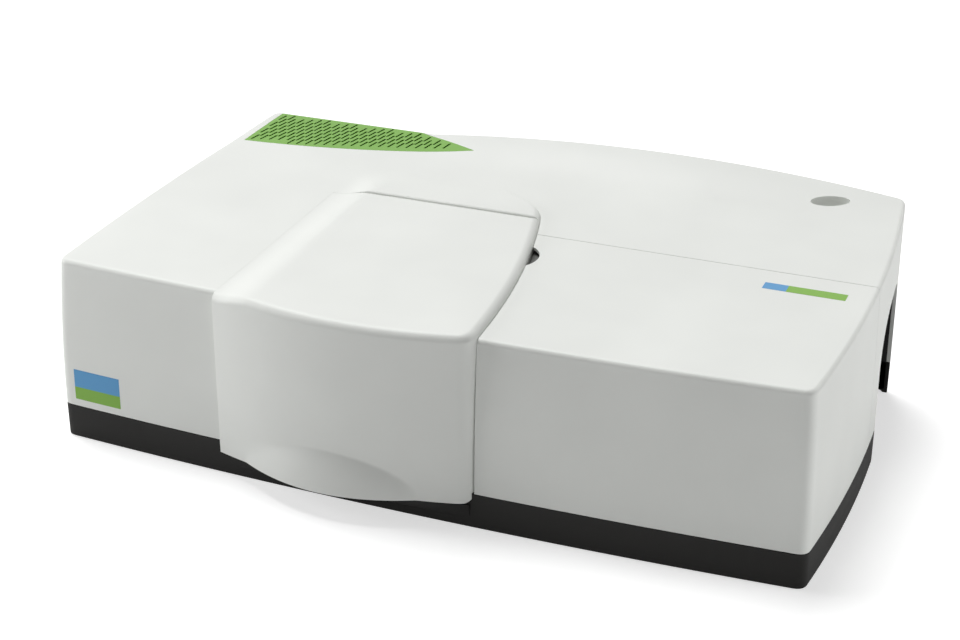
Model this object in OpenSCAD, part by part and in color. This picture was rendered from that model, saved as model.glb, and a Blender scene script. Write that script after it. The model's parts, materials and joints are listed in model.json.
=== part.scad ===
// Bench spectrophotometer: moulded covers on a black base tray, a bowed sample lid,
// a lift-off detector cover, and the optics and electronics that they hide.
// X runs to the right, Y to the back, Z up. The origin is under the middle of the base.

/* [Overall size] */
// Width over the bulged side walls
body_w = 1020; // [990:5:1060]
// Depth from the front of the lid's bow to the crown of the rear wall
body_d = 630; // [620:2:650]
// Height to the top of the rear crown
body_h = 300; // [296:1:312]

/* [Base] */
// Height of the seam between base tray and covers
seam_z = 48; // [44:1:56]
// Height of the rubber feet that show under the base tray
foot_h = 4; // [3:0.5:8]
// Radius of a rubber foot
foot_r = 18; // [10:1:24]
// Thickness of the base tray's floor and walls
tray_wall = 4; // [2:0.5:5]
// Gap between the base tray and the covers on it
seam_gap = 0.3; // [0.2:0.1:1]
// Step of the tray's bottom edge inwards
tray_step = 3; // [1:0.5:6]

/* [Covers] */
// Wall thickness of the moulded covers
wall = 4; // [3:0.5:5]
// Rounding of the top edges
edge_r = 10; // [8:0.5:12]
// Height of the top over the front corners
front_top = 252.4; // [246:0.2:258]
// Height of the top over the rear corners
rear_top = 283.5; // [278:0.5:288]
// Distance of the front corners behind the lid's bow
front_set = 47; // [40:1:54]
// Distance of the rear corners before the crown of the rear wall
rear_set = 18.2; // [12:0.2:24]
// Bow of the front between its corners
front_bow = 17.4; // [10:0.2:22]
// Front left corner's distance inside the widest point
corner_fl = 4.2; // [2:0.2:8]
// Front right corner's distance inside the widest point
corner_fr = 8.6; // [4:0.2:12]
// Rear left corner's distance inside the widest point
corner_rl = 22.6; // [18:0.2:28]
// Rear right corner's distance inside the widest point
corner_rr = 30.3; // [26:0.2:36]
// Corner radius in plan
corner_r = 14; // [12:1:20]
// Inward lean of the left wall at its top
lean_left = 10; // [6:0.5:12]
// Inward lean of the front wall at its top
lean_front = 8; // [4:0.5:10]
// Inward lean of the right wall at its top
lean_right = 6.4; // [4:0.2:10]
// Middle of the rear crown, from the right side
crown_in = 381; // [370:1:400]
// Half width of the rear crown
crown_half = 346; // [320:1:346]
// Depth of the crown's slope, in front of the rear edge
crown_run = 105; // [80:5:140]
// Gap between neighbouring covers
cover_gap = 0.8; // [0.5:0.1:1.5]

/* [Sample lid] */
// Width of the cover to the left of the lid
left_w = 247; // [240:1:252]
// Width of the lid at its front
lid_w = 355.5; // [350:0.5:362]
// Middle of the lid's bow, from the lid's left edge
bow_in = 193; // [184:1:202]
// Radius of the lid's bow in plan
bow_r = 565; // [540:5:600]
// Radius of the lid's right edge in plan
lid_edge_r = 1220; // [1150:10:1400]
// Radius of the lid's front right corner
lid_corner_r = 18; // [14:1:24]
// Height of the lid's right side over the covers beside it
lid_lift = 10; // [6:0.5:12]
// Width over which the lift fades out to the left
lid_ramp = 62; // [40:1:90]
// Height of the lid's lower edge at its left end
lid_bottom = 31; // [26:1:36]
// Rise of the lower edge towards the right
lid_rise = 6; // [0:0.5:10]
// Depth of the skirt under the lid's top
lid_skirt = 24; // [18:1:30]
// Rear edge line of the lid, along Y
hinge_y = 46; // [40:1:50]
// Radius of the rounded rear edge of the lid
roll_r = 9; // [8:0.5:10]
// Width of the finger lip in the lid's front
lip_w = 242; // [200:2:260]
// Height of the finger lip over the lower edge
lip_h = 49; // [36:1:60]
// How far the finger lip stands out at the lower edge
lip_out = 20; // [12:0.5:24]
// Middle of the finger lip, from the lid's left edge
lip_in = 166; // [150:1:180]

/* [Detector cover] */
// Panel line between detector cover and rear part, along Y
panel_y = 24; // [20:1:28]
// Radius of the notch beside the lid
notch_r = 37; // [30:1:40]
// Centre of the notch, inside the lid's right end
notch_in = 49.5; // [46.5:0.5:52.5]
// Centre of the notch, along Y
notch_y = -46; // [-60:1:-40]

/* [Rear details] */
// Diameter of the finger recess in the top
recess_d = 53; // [40:1:58]
// Depth of the finger recess
recess_deep = 9; // [5:0.5:11]
// Finger recess centre, from the right side
recess_in = 123; // [115:1:140]
// Finger recess centre, before the rear corners
recess_back = 38.8; // [35:0.2:56]
// Length of the hand-holds
hand_l = 94; // [84:1:100]
// Distance of the hand-holds before the rear corners
hand_back = 12.8; // [9:0.2:24]
// Top of the hand-holds
hand_top = 150; // [130:1:160]
// Depth of the pockets from the widest point
pocket_deep = 74; // [68:1:80]
// Wall of the pocket
pocket_wall = 3; // [2:0.5:4]

/* [Vent grille] */
// Width of the grille along the rear edge
grille_w = 231.4; // [224:0.2:238]
// Length of the grille's slanted right side, along X
grille_slant = 102; // [96:1:106]
// Depth of the grille at its left end
grille_d = 101.8; // [96:0.2:104]
// Slope of the grille's front edge at its left end
grille_slope = 0.062; // [0.04:0.002:0.08]
// Bend of the grille's front edge, 1 over mm
grille_bend = 0.00042; // [0.0003:0.00002:0.0005]
// Thickness of the grille plate
grille_t = 2.5; // [2:0.25:3]
// Width of a vent slot
slot_w = 4.6; // [3:0.2:5]
// Length of a vent slot
slot_l = 15; // [10:0.5:18]
// Slant of the slots from the Y axis
slot_turn = 24; // [0:2:30]
// Spacing of the slots along X
slot_px = 19; // [16:0.5:24]
// Spacing of the slot rows along Y
slot_py = 13.5; // [12:0.5:18]

/* [Inner parts] */
// Underside of the optical bench
bench_z = 44; // [40:1:52]
// Height of the light beams
beam_z = 150; // [140:1:160]
// Sample beam, along Y
sample_y = -170; // [-176:2:-164]
// Reference beam, along Y
reference_y = -60; // [-66:2:-54]
// Radius of a beam window
window_r = 16; // [10:1:20]
// Radius of the lid's hinge pins
pin_r = 3; // [2:0.25:3.5]
// Running play around pins and shafts
pin_play = 0.05; // [0.02:0.01:0.1]
// Thickness of a hinge bracket
bracket_t = 3; // [2:0.5:4]
// Height of the light seal on the compartment's rim
seal_h = 4; // [2:0.5:6]
// Height of the compartment's front lip
comp_lip = 40; // [20:1:60]

/* [Hidden] */

beam_y = [sample_y, reference_y];
half_w = body_w / 2;
half_d = body_d / 2;
front_y = -half_d + front_set;
rear_y = half_d - rear_set;
top_slope = (rear_top - front_top) / (rear_y - front_y);
crown_x = half_w - crown_in;
lid_left = left_w - half_w;
lid_right = lid_left + lid_w;
bow_x = lid_left + bow_in;
notch_x = lid_right - notch_in;
recess_x = half_w - recess_in;
recess_y = rear_y - recess_back;
hand_rear = rear_y - hand_back;
hand_front = hand_rear - hand_l;
pocket_back = half_w - pocket_deep;

function mix(a, b, t) = a + (b - a) * t;
function clamp(t) = max(0, min(1, t));
function smooth(t) = let (c = clamp(t)) c * c * (3 - 2 * c);
function bezier(a, b, c, t) = (1 - t) * (1 - t) * a + 2 * t * (1 - t) * b + t * t * c;

// Height of the sloping top without crown or lid
function plane_z(y) = front_top + top_slope * (y - front_y);

// The crown is a swelling that starts crown_run before the rear edge
crown_h = body_h - plane_z(half_d - edge_r);
function crown_z(x, y) = crown_h * max(0, 1 - pow((x - crown_x) / crown_half, 2))
    * smooth((y - (half_d - edge_r - crown_run)) / crown_run);
function top_z(x, y) = plane_z(y) + crown_z(x, y);

// Plan outline: four bowed sides with rounded corners. An inset is [front, right, rear, left].
corner_x = [-half_w + corner_fl, half_w - corner_fr, half_w - corner_rr, -half_w + corner_rl];
// A side from x0 to x1 whose bulge b peaks exactly at the half width
function side_bulge(x0, x1) = let (b = half_w - (abs(x0) + abs(x1)) / 2, d = x1 - x0)
    (b + sqrt(b * b - d * d / 4)) / 2;
bulge_right = side_bulge(corner_x[1], corner_x[2]);
bulge_left = side_bulge(corner_x[0], corner_x[3]);
function rear_line(x) = rear_y + rear_set * max(0, 1 - pow((x - crown_x) / crown_half, 2));
function side_point(k, t, inset) =
    let (xf0 = corner_x[0] + inset[3], xf1 = corner_x[1] - inset[1],
         xr1 = corner_x[2] - inset[1], xr0 = corner_x[3] + inset[3],
         yf = front_y + inset[0], bow = 4 * t * (1 - t))
    k == 0 ? [mix(xf0, xf1, t), yf - front_bow * bow]
    : k == 1 ? [mix(xf1, xr1, t) + bulge_right * bow, mix(yf, rear_y - inset[2], t)]
    : k == 2 ? let (x = mix(xr1, xr0, t)) [x, rear_line(x) - inset[2]]
    : [mix(xr0, xf0, t) - bulge_left * bow, mix(rear_y - inset[2], yf, t)];
side_long = [body_w, body_d, body_w, body_d];
side_steps = [14, 10, 22, 10];
corner_steps = 4;
function outline(inset, r) = [for (k = [0:3]) each
    let (ta = r / side_long[k], next = (k + 1) % 4,
         a = side_point(k, 1 - ta, inset), b = side_point(k, 1, inset),
         c = side_point(next, r / side_long[next], inset))
    concat([for (i = [0:side_steps[k] - 1]) side_point(k, mix(ta, 1 - ta, i / side_steps[k]), inset)],
           [for (i = [0:corner_steps - 1]) bezier(a, b, c, i / corner_steps)])];

// A closed cup: rings of equal length, each a list of 3D points, capped flat below and to a peak above
module cup(rings, peak) {
    n = len(rings[0]);
    points = concat([for (ring = rings) each ring], [peak]);
    last = (len(rings) - 1) * n;
    sides = [for (j = [0:len(rings) - 2], i = [0:n - 1], k = [0, 1])
        let (i2 = (i + 1) % n, a = j * n + i, b = j * n + i2, c = a + n, d = b + n)
        k == 0 ? [b, a, c] : [b, c, d]];
    polyhedron(points = points, faces = concat([[for (i = [0:n - 1]) i]], sides,
        [for (i = [0:n - 1]) [last + (i + 1) % n, last + i, len(points) - 1]]));
}

// The covers' common form. thick moves its surface inwards, as the inner face of the walls.
lean = [lean_front, lean_right, 0, lean_left];
wall_steps = 3;
round_steps = 4;
top_fractions = [0.97, 0.93, 0.88, 0.82, 0.76, 0.7, 0.45];
inner_fractions = [0.9, 0.76, 0.45];
form_centre = [0, 20];
module cover_form(thick = 0, z0 = seam_z) {
    r_edge = max(edge_r - thick, 3);
    function even(d) = [d, d, d, d];
    function ring(inset, r, u, drop) = [for (p = outline(inset, max(r, 2)))
        [p[0], p[1], mix(z0, top_z(p[0], p[1]) - thick - drop, u)]];
    walls = [for (j = [0:wall_steps]) let (u = j / wall_steps)
        ring(even(thick) + lean * u * u, corner_r - thick, u, r_edge)];
    rounding = [for (j = [1:round_steps]) let (a = 90 * j / round_steps, d = r_edge * (1 - cos(a)))
        ring(even(thick + d) + lean, corner_r - thick - d, 1, r_edge * (1 - sin(a)))];
    rim = rounding[round_steps - 1];
    tops = [for (f = thick > 0 ? inner_fractions : top_fractions) [for (p = rim)
        let (q = form_centre + f * ([p[0], p[1]] - form_centre)) [q[0], q[1], top_z(q[0], q[1]) - thick]]];
    cup(concat(walls, rounding, tops),
        [form_centre[0], form_centre[1], top_z(form_centre[0], form_centre[1]) - thick]);
}

// Plan of the lid and of the raised part behind it
lid_front_y = -half_d;
function bow_y(x) = lid_front_y + pow(x - bow_x, 2) / (2 * bow_r);
bow_end_y = bow_y(lid_right);
function right_x(y) = lid_right - pow(max(0, y - bow_end_y), 2) / (2 * lid_edge_r);
pad_left = lid_left - 3 * edge_r;
curl_y = 66;
curl_turn = [28, 118];
curl_end = [-75, 175];
pad_far_y = 176;
pad_steps = [14, 5, 12, 8];
lip_steps = 24;
function pad_outline(d, front = pad_steps[0]) =
    let (r = max(lid_corner_r - d, 3), x1 = lid_right - d,
         a = [x1 - r, bow_y(x1 - r) + d], b = [x1, bow_y(x1) + d],
         c = [right_x(bow_end_y + r) - d, bow_end_y + d + r],
         e = [right_x(curl_y) - d, curl_y])
    concat([for (i = [0:front - 1]) let (x = mix(pad_left, a[0], i / front))
               [x, bow_y(x) + d]],
           [for (i = [0:pad_steps[1] - 1]) bezier(a, b, c, i / pad_steps[1])],
           [for (i = [0:pad_steps[2] - 1]) let (y = mix(c[1], e[1], i / pad_steps[2]))
               [right_x(y) - d, y]],
           [for (i = [0:pad_steps[3]]) bezier(e, curl_turn - [d, d], curl_end - [d, d], i / pad_steps[3])],
           [[pad_left, pad_far_y - d]]);
pad_fade = 20;
function lift_z(x, y) = lid_lift * smooth((x - lid_left) / lid_ramp)
    * (1 - smooth((y - curl_y) / (pad_far_y - curl_y - pad_fade)));
function pad_z(x, y) = plane_z(y) + lift_z(x, y);
pad_centre = [-90, -60];
pad_fractions = [0.96, 0.9, 0.8, 0.65, 0.45, 0.2];
module pad_form(thick = 0, z0 = seam_z, sink = 0, front = pad_steps[0], foot = []) {
    r_edge = max(edge_r + 2 - thick, 3);
    function ring(d, u, drop) = [for (p = pad_outline(d, front))
        [p[0], p[1], mix(z0, pad_z(p[0], p[1]) - thick - drop - sink, u)]];
    low = len(foot) > 0 ? foot : [ring(thick, 0, r_edge), ring(thick, 0.5, r_edge)];
    walls = concat(low, [ring(thick, 1, r_edge)]);
    rounding = [for (j = [1:round_steps]) let (a = 90 * j / round_steps)
        ring(thick + r_edge * (1 - cos(a)), 1, r_edge * (1 - sin(a)))];
    rim = rounding[round_steps - 1];
    tops = [for (f = pad_fractions) [for (p = rim)
        let (q = pad_centre + f * ([p[0], p[1]] - pad_centre))
            [q[0], q[1], pad_z(q[0], q[1]) - thick - sink]]];
    cup(concat(walls, rounding, tops),
        [pad_centre[0], pad_centre[1], pad_z(pad_centre[0], pad_centre[1]) - thick - sink]);
}

// The lid's lower edge, and the finger lip that flares out of its front inside a half ellipse
lip_x = lid_left + lip_in;
lip_levels = [0.2, 0.4, 0.6, 0.75, 0.88, 1];
function lid_edge_z(x) = lid_bottom + lid_rise * (x - lid_left) / lid_w;
function lip_at(x, y, up) = y > 0 ? 0
    : lip_out * max(0, 1 - pow((x - lip_x) / (lip_w / 2), 2) - pow(up / lip_h, 2));
function lip_ring(thick, up, flat = false) = [for (p = pad_outline(thick, lip_steps))
    [p[0], p[1] - lip_at(p[0], p[1], up), flat ? lid_bottom - thick - 1 : lid_edge_z(p[0]) + up]];
module lid_form(thick = 0) {
    pad_form(thick = thick, front = lip_steps,
        foot = concat([lip_ring(thick, 0, true)], [for (v = lip_levels) lip_ring(thick, v * lip_h)]));
}
// Everything under the lid's lower edge
module under_edge() {
    translate([0, far, 0]) rotate([90, 0, 0]) linear_extrude(height = 2 * far)
        polygon([[-far, lid_edge_z(-far)], [-far, -far], [far, -far], [far, lid_edge_z(far)]]);
}
// The lip reaches out in front of the covers, so the whole is set back by half of its reach
set_back = (-half_d - min([for (p = lip_ring(0, 0)) p[1]])) / 2;

far = 900;
hinge_z = pad_z(lid_left + lid_ramp + 1, hinge_y) - roll_r;
lid_back = hinge_y + roll_r + cover_gap;
bracket_z = hinge_z - 60;
bracket_h = 20;
// Plan polygon of the lid's opening; grow widens it on every side
function lid_plan(grow) = concat([[lid_left - grow, -far], [lid_right + grow, -far]],
    [for (i = [0:12]) let (y = mix(bow_end_y, lid_back, i / 12)) [right_x(y) + grow, y]],
    [[lid_left - grow, lid_back]]);
module lid_prism(grow = 0) { linear_extrude(height = far) polygon(lid_plan(grow)); }
module right_prism(grow = 0) {
    translate([0, 0, -1]) linear_extrude(height = far) polygon(concat(
        [[far, -far], [far, panel_y + grow]],
        [for (i = [0:12]) let (y = mix(panel_y + grow, bow_end_y, i / 12)) [right_x(y) - grow, y]],
        [[lid_right - grow, -far]]));
}

module base_tray() {
    wall_z0 = foot_h + tray_wall;
    function even(d) = [d, d, d, d];
    color("#2a2725") difference() {
        union() {
            translate([0, 0, wall_z0]) linear_extrude(height = seam_z - seam_gap - wall_z0)
                polygon(outline(even(0), corner_r));
            translate([0, 0, foot_h]) linear_extrude(height = tray_wall)
                polygon(outline(even(tray_step), corner_r - tray_step));
        }
        translate([0, 0, wall_z0]) linear_extrude(height = seam_z)
            polygon(outline(even(tray_wall), corner_r - tray_wall));
    }
}

foot_places = [for (x = [-1, 0, 1], y = [-1, 1]) [x * (half_w - 70), y * (rear_y - 60)]];
module rubber_feet() {
    color("#1c1c1c") for (p = foot_places) translate([p[0], p[1], 0]) {
        cylinder(r = foot_r - 2, h = foot_h, $fn = 48);
        translate([0, 0, foot_h / 2]) cylinder(r = foot_r, h = foot_h / 2, $fn = 48);
    }
}

// Outline of the grille in plan, with its curved front edge
grille_rear = rear_y - edge_r;
grille_margin = 6;
grille_side = lean_left + edge_r + corner_rl - half_w + grille_margin;
grille_right = grille_side + grille_w;
grille_tip = grille_right + grille_slant;
grille_flare = 7;
grille_steps = 10;
function grille_front(x) = let (run = x - grille_side)
    grille_rear - grille_d + grille_slope * run + grille_bend * run * run;
function grille_plan() = concat(
    [for (i = [0:grille_steps]) let (x = mix(grille_side - grille_flare, grille_tip, i / grille_steps))
        [x, grille_front(x)]],
    [[grille_right, grille_rear], [grille_side, grille_rear]]);
tilt = atan(top_slope);
// Children are drawn in a plane that lies on the sloping top, z = 0 at its surface
module on_top(depth = 0) {
    translate([0, 0, plane_z(0) - depth]) rotate([tilt, 0, 0]) children();
}
module grille_blank(grow, h) { linear_extrude(height = h) offset(delta = grow) polygon(grille_plan()); }

// A hand-hold's opening seen from the side, an arch with a flattened crown
hand_arch = 0.6;
module hand_shape() {
    mid = (hand_front + hand_rear) / 2;
    half = (hand_rear - hand_front) / 2;
    translate([0, mid, 0]) hull() {
        translate([0, 0, hand_top - half * hand_arch]) scale([1, 1, hand_arch]) rotate([0, 90, 0])
            cylinder(r = half, h = 1, $fn = 48);
        translate([0, -half, seam_z]) cube([1, 2 * half, 1]);
    }
}
// The hand-hold opening as a bar through the wall at side s, 1 right and -1 left
hand_reach = 90;
module hand_cut(s) {
    scale([s, 1, 1]) translate([half_w - hand_reach, 0, 0]) scale([hand_reach + 10, 1, 1]) hand_shape();
}

// Outer face of a side wall at height z, as a distance from the middle; s is 1 right, -1 left
function wall_at(s, y, z) =
    let (t = (y - front_y) / (rear_y - front_y), u = (z - seam_z) / (top_z(0, y) - edge_r - seam_z))
    abs(side_point(s > 0 ? 1 : 3, s > 0 ? t : 1 - t, [0, 0, 0, 0])[0])
        - (s > 0 ? lean_right : lean_left) * u * u;
pocket_gap = 1.3;
function pocket_face(s) = wall_at(s, hand_rear + pocket_wall, hand_top + pocket_wall) - wall - pocket_gap;
recess_ball = (pow(recess_d / 2, 2) + pow(recess_deep, 2)) / (2 * recess_deep);
module recess_at(r) {
    translate([recess_x, recess_y, top_z(recess_x, recess_y) - recess_deep + recess_ball])
        sphere(r = r, $fn = 36);
}

// Stiffening ribs under the top, as wide as rib_t and rib_h deep
rib_t = 3;
rib_h = 8;
left_rib_x = [70 - half_w, 150 - half_w, lid_left - 27];
left_rib_y = [-200, 120];
right_rib_x = [half_w - 370, half_w - 290, half_w - 210, half_w - 130];
right_rib_y = [lid_back + 5, hand_front];
cross_rib_y = -120;
module rib_end(x, y, w, d) { translate([x, y, plane_z(y) - wall - rib_h]) cube([w, d, rib_h + 0.5]); }
module cover_ribs() {
    for (x = left_rib_x) hull() for (y = left_rib_y) rib_end(x, y, rib_t, 1);
    for (x = right_rib_x) hull() for (y = right_rib_y) rib_end(x, y, rib_t, 1);
    hull() for (x = [left_rib_x[0], left_rib_x[2]]) rib_end(x, cross_rib_y, 1, rib_t);
}

// Opening in the rear wall for the connections: left, right, bottom and top
rear_port = [half_w - 210, half_w - 86, seam_z + 10, hand_top - 10];
// Rounding of the cover's edge along the back of the lid
back_edge_r = 6;
module main_cover() {
    color("#e8e9e5") difference() {
        union() {
            difference() {
                union() {
                    cover_form();
                    intersection() {
                        pad_form(z0 = seam_z, sink = 0.05);
                        translate([-far, lid_back, 0]) cube([2 * far, far, far]);
                    }
                }
                difference() {
                    cover_form(thick = wall, z0 = seam_z - 1);
                    recess_at(recess_ball + wall);
                    on_top(grille_t + 3) grille_blank(3, 6);
                }
            }
            intersection() { cover_ribs(); cover_form(); }
        }
        lid_prism(cover_gap / 2);
        right_prism(cover_gap / 2);
        recess_at(recess_ball);
        on_top(grille_t) grille_blank(0.3, 20);
        on_top(30) grille_blank(-7, 60);
        for (s = [-1, 1]) hand_cut(s);
        translate([rear_port[0], rear_y - 2 * edge_r, rear_port[2]])
            cube([rear_port[1] - rear_port[0], 6 * edge_r, rear_port[3] - rear_port[2]]);
        translate([lid_left - 1, lid_back, hinge_z + roll_r - back_edge_r + 0.5]) difference() {
            translate([0, -1, 0])
                cube([right_x(lid_back) - lid_left + 2, back_edge_r + 1, back_edge_r + 5]);
            translate([-1, back_edge_r, 0]) rotate([0, 90, 0])
                cylinder(r = back_edge_r, h = right_x(lid_back) - lid_left + 4, $fn = 32);
        }
    }
}

// Slots fill the grille up to a border on every side, each second row moved by half a space
grille_border = 4;
slot_count = [22, 9];
module vent_grille() {
    side_run = (grille_tip - grille_right) / (grille_rear - grille_front(grille_tip)) + 0.9;
    color("#86b84a") on_top(grille_t) linear_extrude(height = grille_t) difference() {
        polygon(grille_plan());
        for (i = [0:slot_count[0]], j = [0:slot_count[1]]) {
            x = grille_side + grille_border + i * slot_px + (j % 2) * slot_px / 2;
            y = grille_rear - grille_border - 10 - j * slot_py;
            inner = (y > grille_front(x) + slot_l / 2 + grille_border) && (x > grille_side + grille_border)
                && (x < grille_right - 6 + (grille_rear - y) * side_run);
            if (inner) translate([x, y]) rotate(-slot_turn) square([slot_w, slot_l], center = true);
        }
    }
}

// A prism across the whole width over a polygon in Y and Z
module lid_side_view(points) {
    rotate([90, 0, 90]) translate([0, 0, -far]) linear_extrude(height = 2 * far) polygon(points);
}
lid_x0 = lid_left + cover_gap / 2;
module sample_lid() {
    color("#eceeeb") difference() {
        intersection() {
            lid_form();
            translate([lid_x0, -far, 0]) cube([far, 2 * far, far]);
            union() {
                lid_side_view([[-far, 0], [hinge_y - roll_r, 0], [hinge_y - roll_r, far], [-far, far]]);
                lid_side_view([[-far, hinge_z - roll_r], [hinge_y, hinge_z - roll_r], [hinge_y, far],
                    [-far, far]]);
                translate([-far, hinge_y, hinge_z]) x_rod(roll_r, 2 * far);
            }
        }
        hinge_pocket();
        under_edge();
        linear_extrude(height = seam_z + 1) polygon(outline(-2 * fit * [1, 1, 1, 1], corner_r));
        intersection() {
            lid_form(thick = wall);
            translate([lid_x0 + wall, -far, 0]) cube([far, 2 * far, far]);
            lid_side_view([[-far, 0], [hinge_y - roll_r, 0], [hinge_y - roll_r, far], [-far, far]]);
        }
        lid_side_view([[front_y + 2 * wall, 0], [hinge_y - roll_r + 1, 0],
            [hinge_y - roll_r + 1, plane_z(hinge_y) - lid_skirt],
            [front_y + 2 * wall, plane_z(front_y) - lid_skirt]]);
    }
}

module detector_cover() {
    color("#e6e8e5") difference() {
        intersection() {
            cover_form();
            difference() {
                right_prism(-cover_gap / 2);
                lid_prism(cover_gap / 2);
            }
        }
        cover_form(thick = wall, z0 = seam_z - 1);
        translate([notch_x, notch_y, seam_z]) cylinder(r = notch_r, h = far, $fn = 64);
    }
}

// Inner walls and floor of the sample compartment
comp_left = lid_left + 8;
comp_right = right_x(hinge_y) - wall - 8;
comp_front = front_y + 12;
comp_rear = hinge_y - roll_r - 12;
comp_floor = bench_z - 4;
comp_drop = lid_skirt / 2;
comp_wide = comp_right - comp_left;
comp_deep = comp_rear - comp_front;
// A prism along X from x0, w wide, over a YZ polygon
module x_prism(x0, w, points) {
    translate([x0, 0, 0]) rotate([90, 0, 90]) linear_extrude(height = w) polygon(points);
}
module plate(x, y, z, w, d, h) { translate([x, y, z]) cube([w, d, h]); }
module tube(r, r_in, h) {
    difference() {
        cylinder(r = r, h = h, $fn = 64);
        translate([0, 0, -1]) cylinder(r = r_in, h = h + 2, $fn = 64);
    }
}
// A round bar along X or Y
module x_rod(r, h) { rotate([0, 90, 0]) cylinder(r = r, h = h, $fn = 64); }
module y_rod(r, h) { rotate([-90, 0, 0]) cylinder(r = r, h = h, $fn = 64); }

liner_t = 2;
fit = 0.3;
function under_lid(y) = pad_z(bow_x, y) - wall - fit;
function liner_z(y) = under_lid(y) - lid_lift - liner_t;
module lid_liner() {
    x0 = comp_left - 3;
    y0 = comp_front - 3;
    y1 = hinge_y - roll_r - 3;
    color("#202020") difference() {
        x_prism(x0, comp_wide + 5, [[y0, liner_z(y0)], [y1, liner_z(y1)],
            [y1, liner_z(y1) + liner_t], [y0, liner_z(y0) + liner_t]]);
        for (x = knuckle_x) plate(x - knuckle_w, y1 - 16, 0, 2 * knuckle_w, far, far);
    }
}

knuckle_x = [comp_left + 60, comp_right - 60];
knuckle_w = 12;
knuckle_r = 6.4;
leaf_t = 3;
leaf_l = 40;
module lid_hinge_knuckles() {
    color("#9a9c9e") for (x = knuckle_x) difference() {
        union() {
            translate([x - knuckle_w / 2, hinge_y, hinge_z]) x_rod(knuckle_r, knuckle_w);
            plate(x - knuckle_w / 2, hinge_y - leaf_l, hinge_z - knuckle_r, knuckle_w, leaf_l, leaf_t);
        }
        translate([x - knuckle_w, hinge_y, hinge_z]) x_rod(pin_r + pin_play, 2 * knuckle_w);
    }
}
// Place for the hinge in the lid's rolled edge, seen along X
module hinge_pocket() {
    half = knuckle_w / 2 + bracket_t + 2 * fit + 0.6;
    for (x = knuckle_x) {
        plate(x - half, hinge_y - leaf_l - 1, hinge_z - far, 2 * half, far, far - knuckle_r + leaf_t + fit);
        translate([x - half, hinge_y, hinge_z]) x_rod(knuckle_r + fit, 2 * half);
        plate(x - half, hinge_y, hinge_z - far, 2 * half, far, far + knuckle_r / 2);
    }
}
bracket_foot_y = comp_rear;
arm_w = 6;
module lid_hinge_brackets() {
    color("#6f7173") for (x = knuckle_x, s = [-1, 1]) difference() {
        union() {
            translate([x + s * (knuckle_w / 2 + fit + bracket_t / 2) - bracket_t / 2, 0, 0]) {
                translate([0, hinge_y, hinge_z]) x_rod(knuckle_r, bracket_t);
                plate(0, hinge_y - arm_w / 2, bracket_z, bracket_t, arm_w, hinge_z - bracket_z);
                plate(0, bracket_foot_y, bracket_z, bracket_t, hinge_y + arm_w / 2 - bracket_foot_y, bracket_h);
            }
        }
        translate([x - knuckle_w, hinge_y, hinge_z]) x_rod(pin_r, 2 * knuckle_w);
    }
}
module lid_hinge_pins() {
    long = knuckle_w + 2 * (bracket_t + fit);
    color("#c8c8c8") for (x = knuckle_x) translate([x - long / 2, hinge_y, hinge_z]) x_rod(pin_r, long);
}

comp_t = 3;
function comp_rim(y) = liner_z(y) - seal_h - fit;
module sample_compartment() {
    function side(y0, y1) = [[y0, comp_floor], [y1, comp_floor], [y1, comp_rim(y1)], [y0, comp_rim(y0)]];
    lip = [[comp_front, comp_floor], [comp_front + comp_t, comp_floor],
        [comp_front + comp_t, comp_floor + comp_lip], [comp_front, comp_floor + comp_lip]];
    rear = [[comp_rear - comp_t, comp_floor], [comp_rear, comp_floor], [comp_rear, comp_rim(comp_rear)],
        [comp_rear - comp_t, comp_rim(comp_rear - comp_t)]];
    color("#232425") difference() {
        union() {
            x_prism(comp_left, comp_t, side(comp_front, comp_rear));
            x_prism(comp_right - comp_t, comp_t, side(comp_front, comp_rear));
            x_prism(comp_left, comp_wide, lip);
            x_prism(comp_left, comp_wide, rear);
            plate(comp_left, comp_front, comp_floor, comp_wide, comp_deep, comp_t);
        }
        for (y = beam_y) translate([comp_left - 1, y, beam_z]) x_rod(window_r - 2, comp_wide + 2);
    }
}
module light_seal() {
    w = comp_t;
    function band(y0, y1) = [[y0, comp_rim(y0)], [y1, comp_rim(y1)],
        [y1, comp_rim(y1) + seal_h], [y0, comp_rim(y0) + seal_h]];
    color("#111111") {
        x_prism(comp_left, w, band(comp_front, comp_rear));
        x_prism(comp_right - w, w, band(comp_front, comp_rear));
        x_prism(comp_left + w, comp_wide - 2 * w, band(comp_rear - w, comp_rear));
    }
}
// Sensor that tells the lid is closed, on the compartment's right wall
sensor = [10, 24, 20];
module lid_sensor() {
    color("#30343a") translate([comp_right - comp_t - fit - sensor[0], comp_rear - comp_t - sensor[1] - 16,
        comp_rim(comp_rear - 60) - sensor[2] - 2]) cube(sensor);
}

plate_t = 8;
plate_z = comp_floor + comp_t;
plate_play = 4;
tap_r = 2.1;
tap_edge = 20;
tap_rows = 4;
module compartment_plate() {
    x0 = comp_left + comp_t + plate_play;
    y0 = comp_front + comp_t + plate_play;
    w = comp_wide - 2 * (comp_t + plate_play);
    d = comp_deep - 2 * (comp_t + plate_play);
    color("#8b8f93") translate([x0, y0, plate_z]) difference() {
        cube([w, d, plate_t]);
        for (i = [0:tap_rows], j = [0:tap_rows])
            translate([mix(tap_edge, w - tap_edge, i / tap_rows), mix(tap_edge, d - tap_edge, j / tap_rows), 2])
                cylinder(r = tap_r, h = plate_t, $fn = 24);
    }
}
holder_x = (comp_left + comp_right) / 2;
holder_w = 44;
holder_d = 34;
holder_foot_h = 6;
holder_foot_d = 50;
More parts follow.
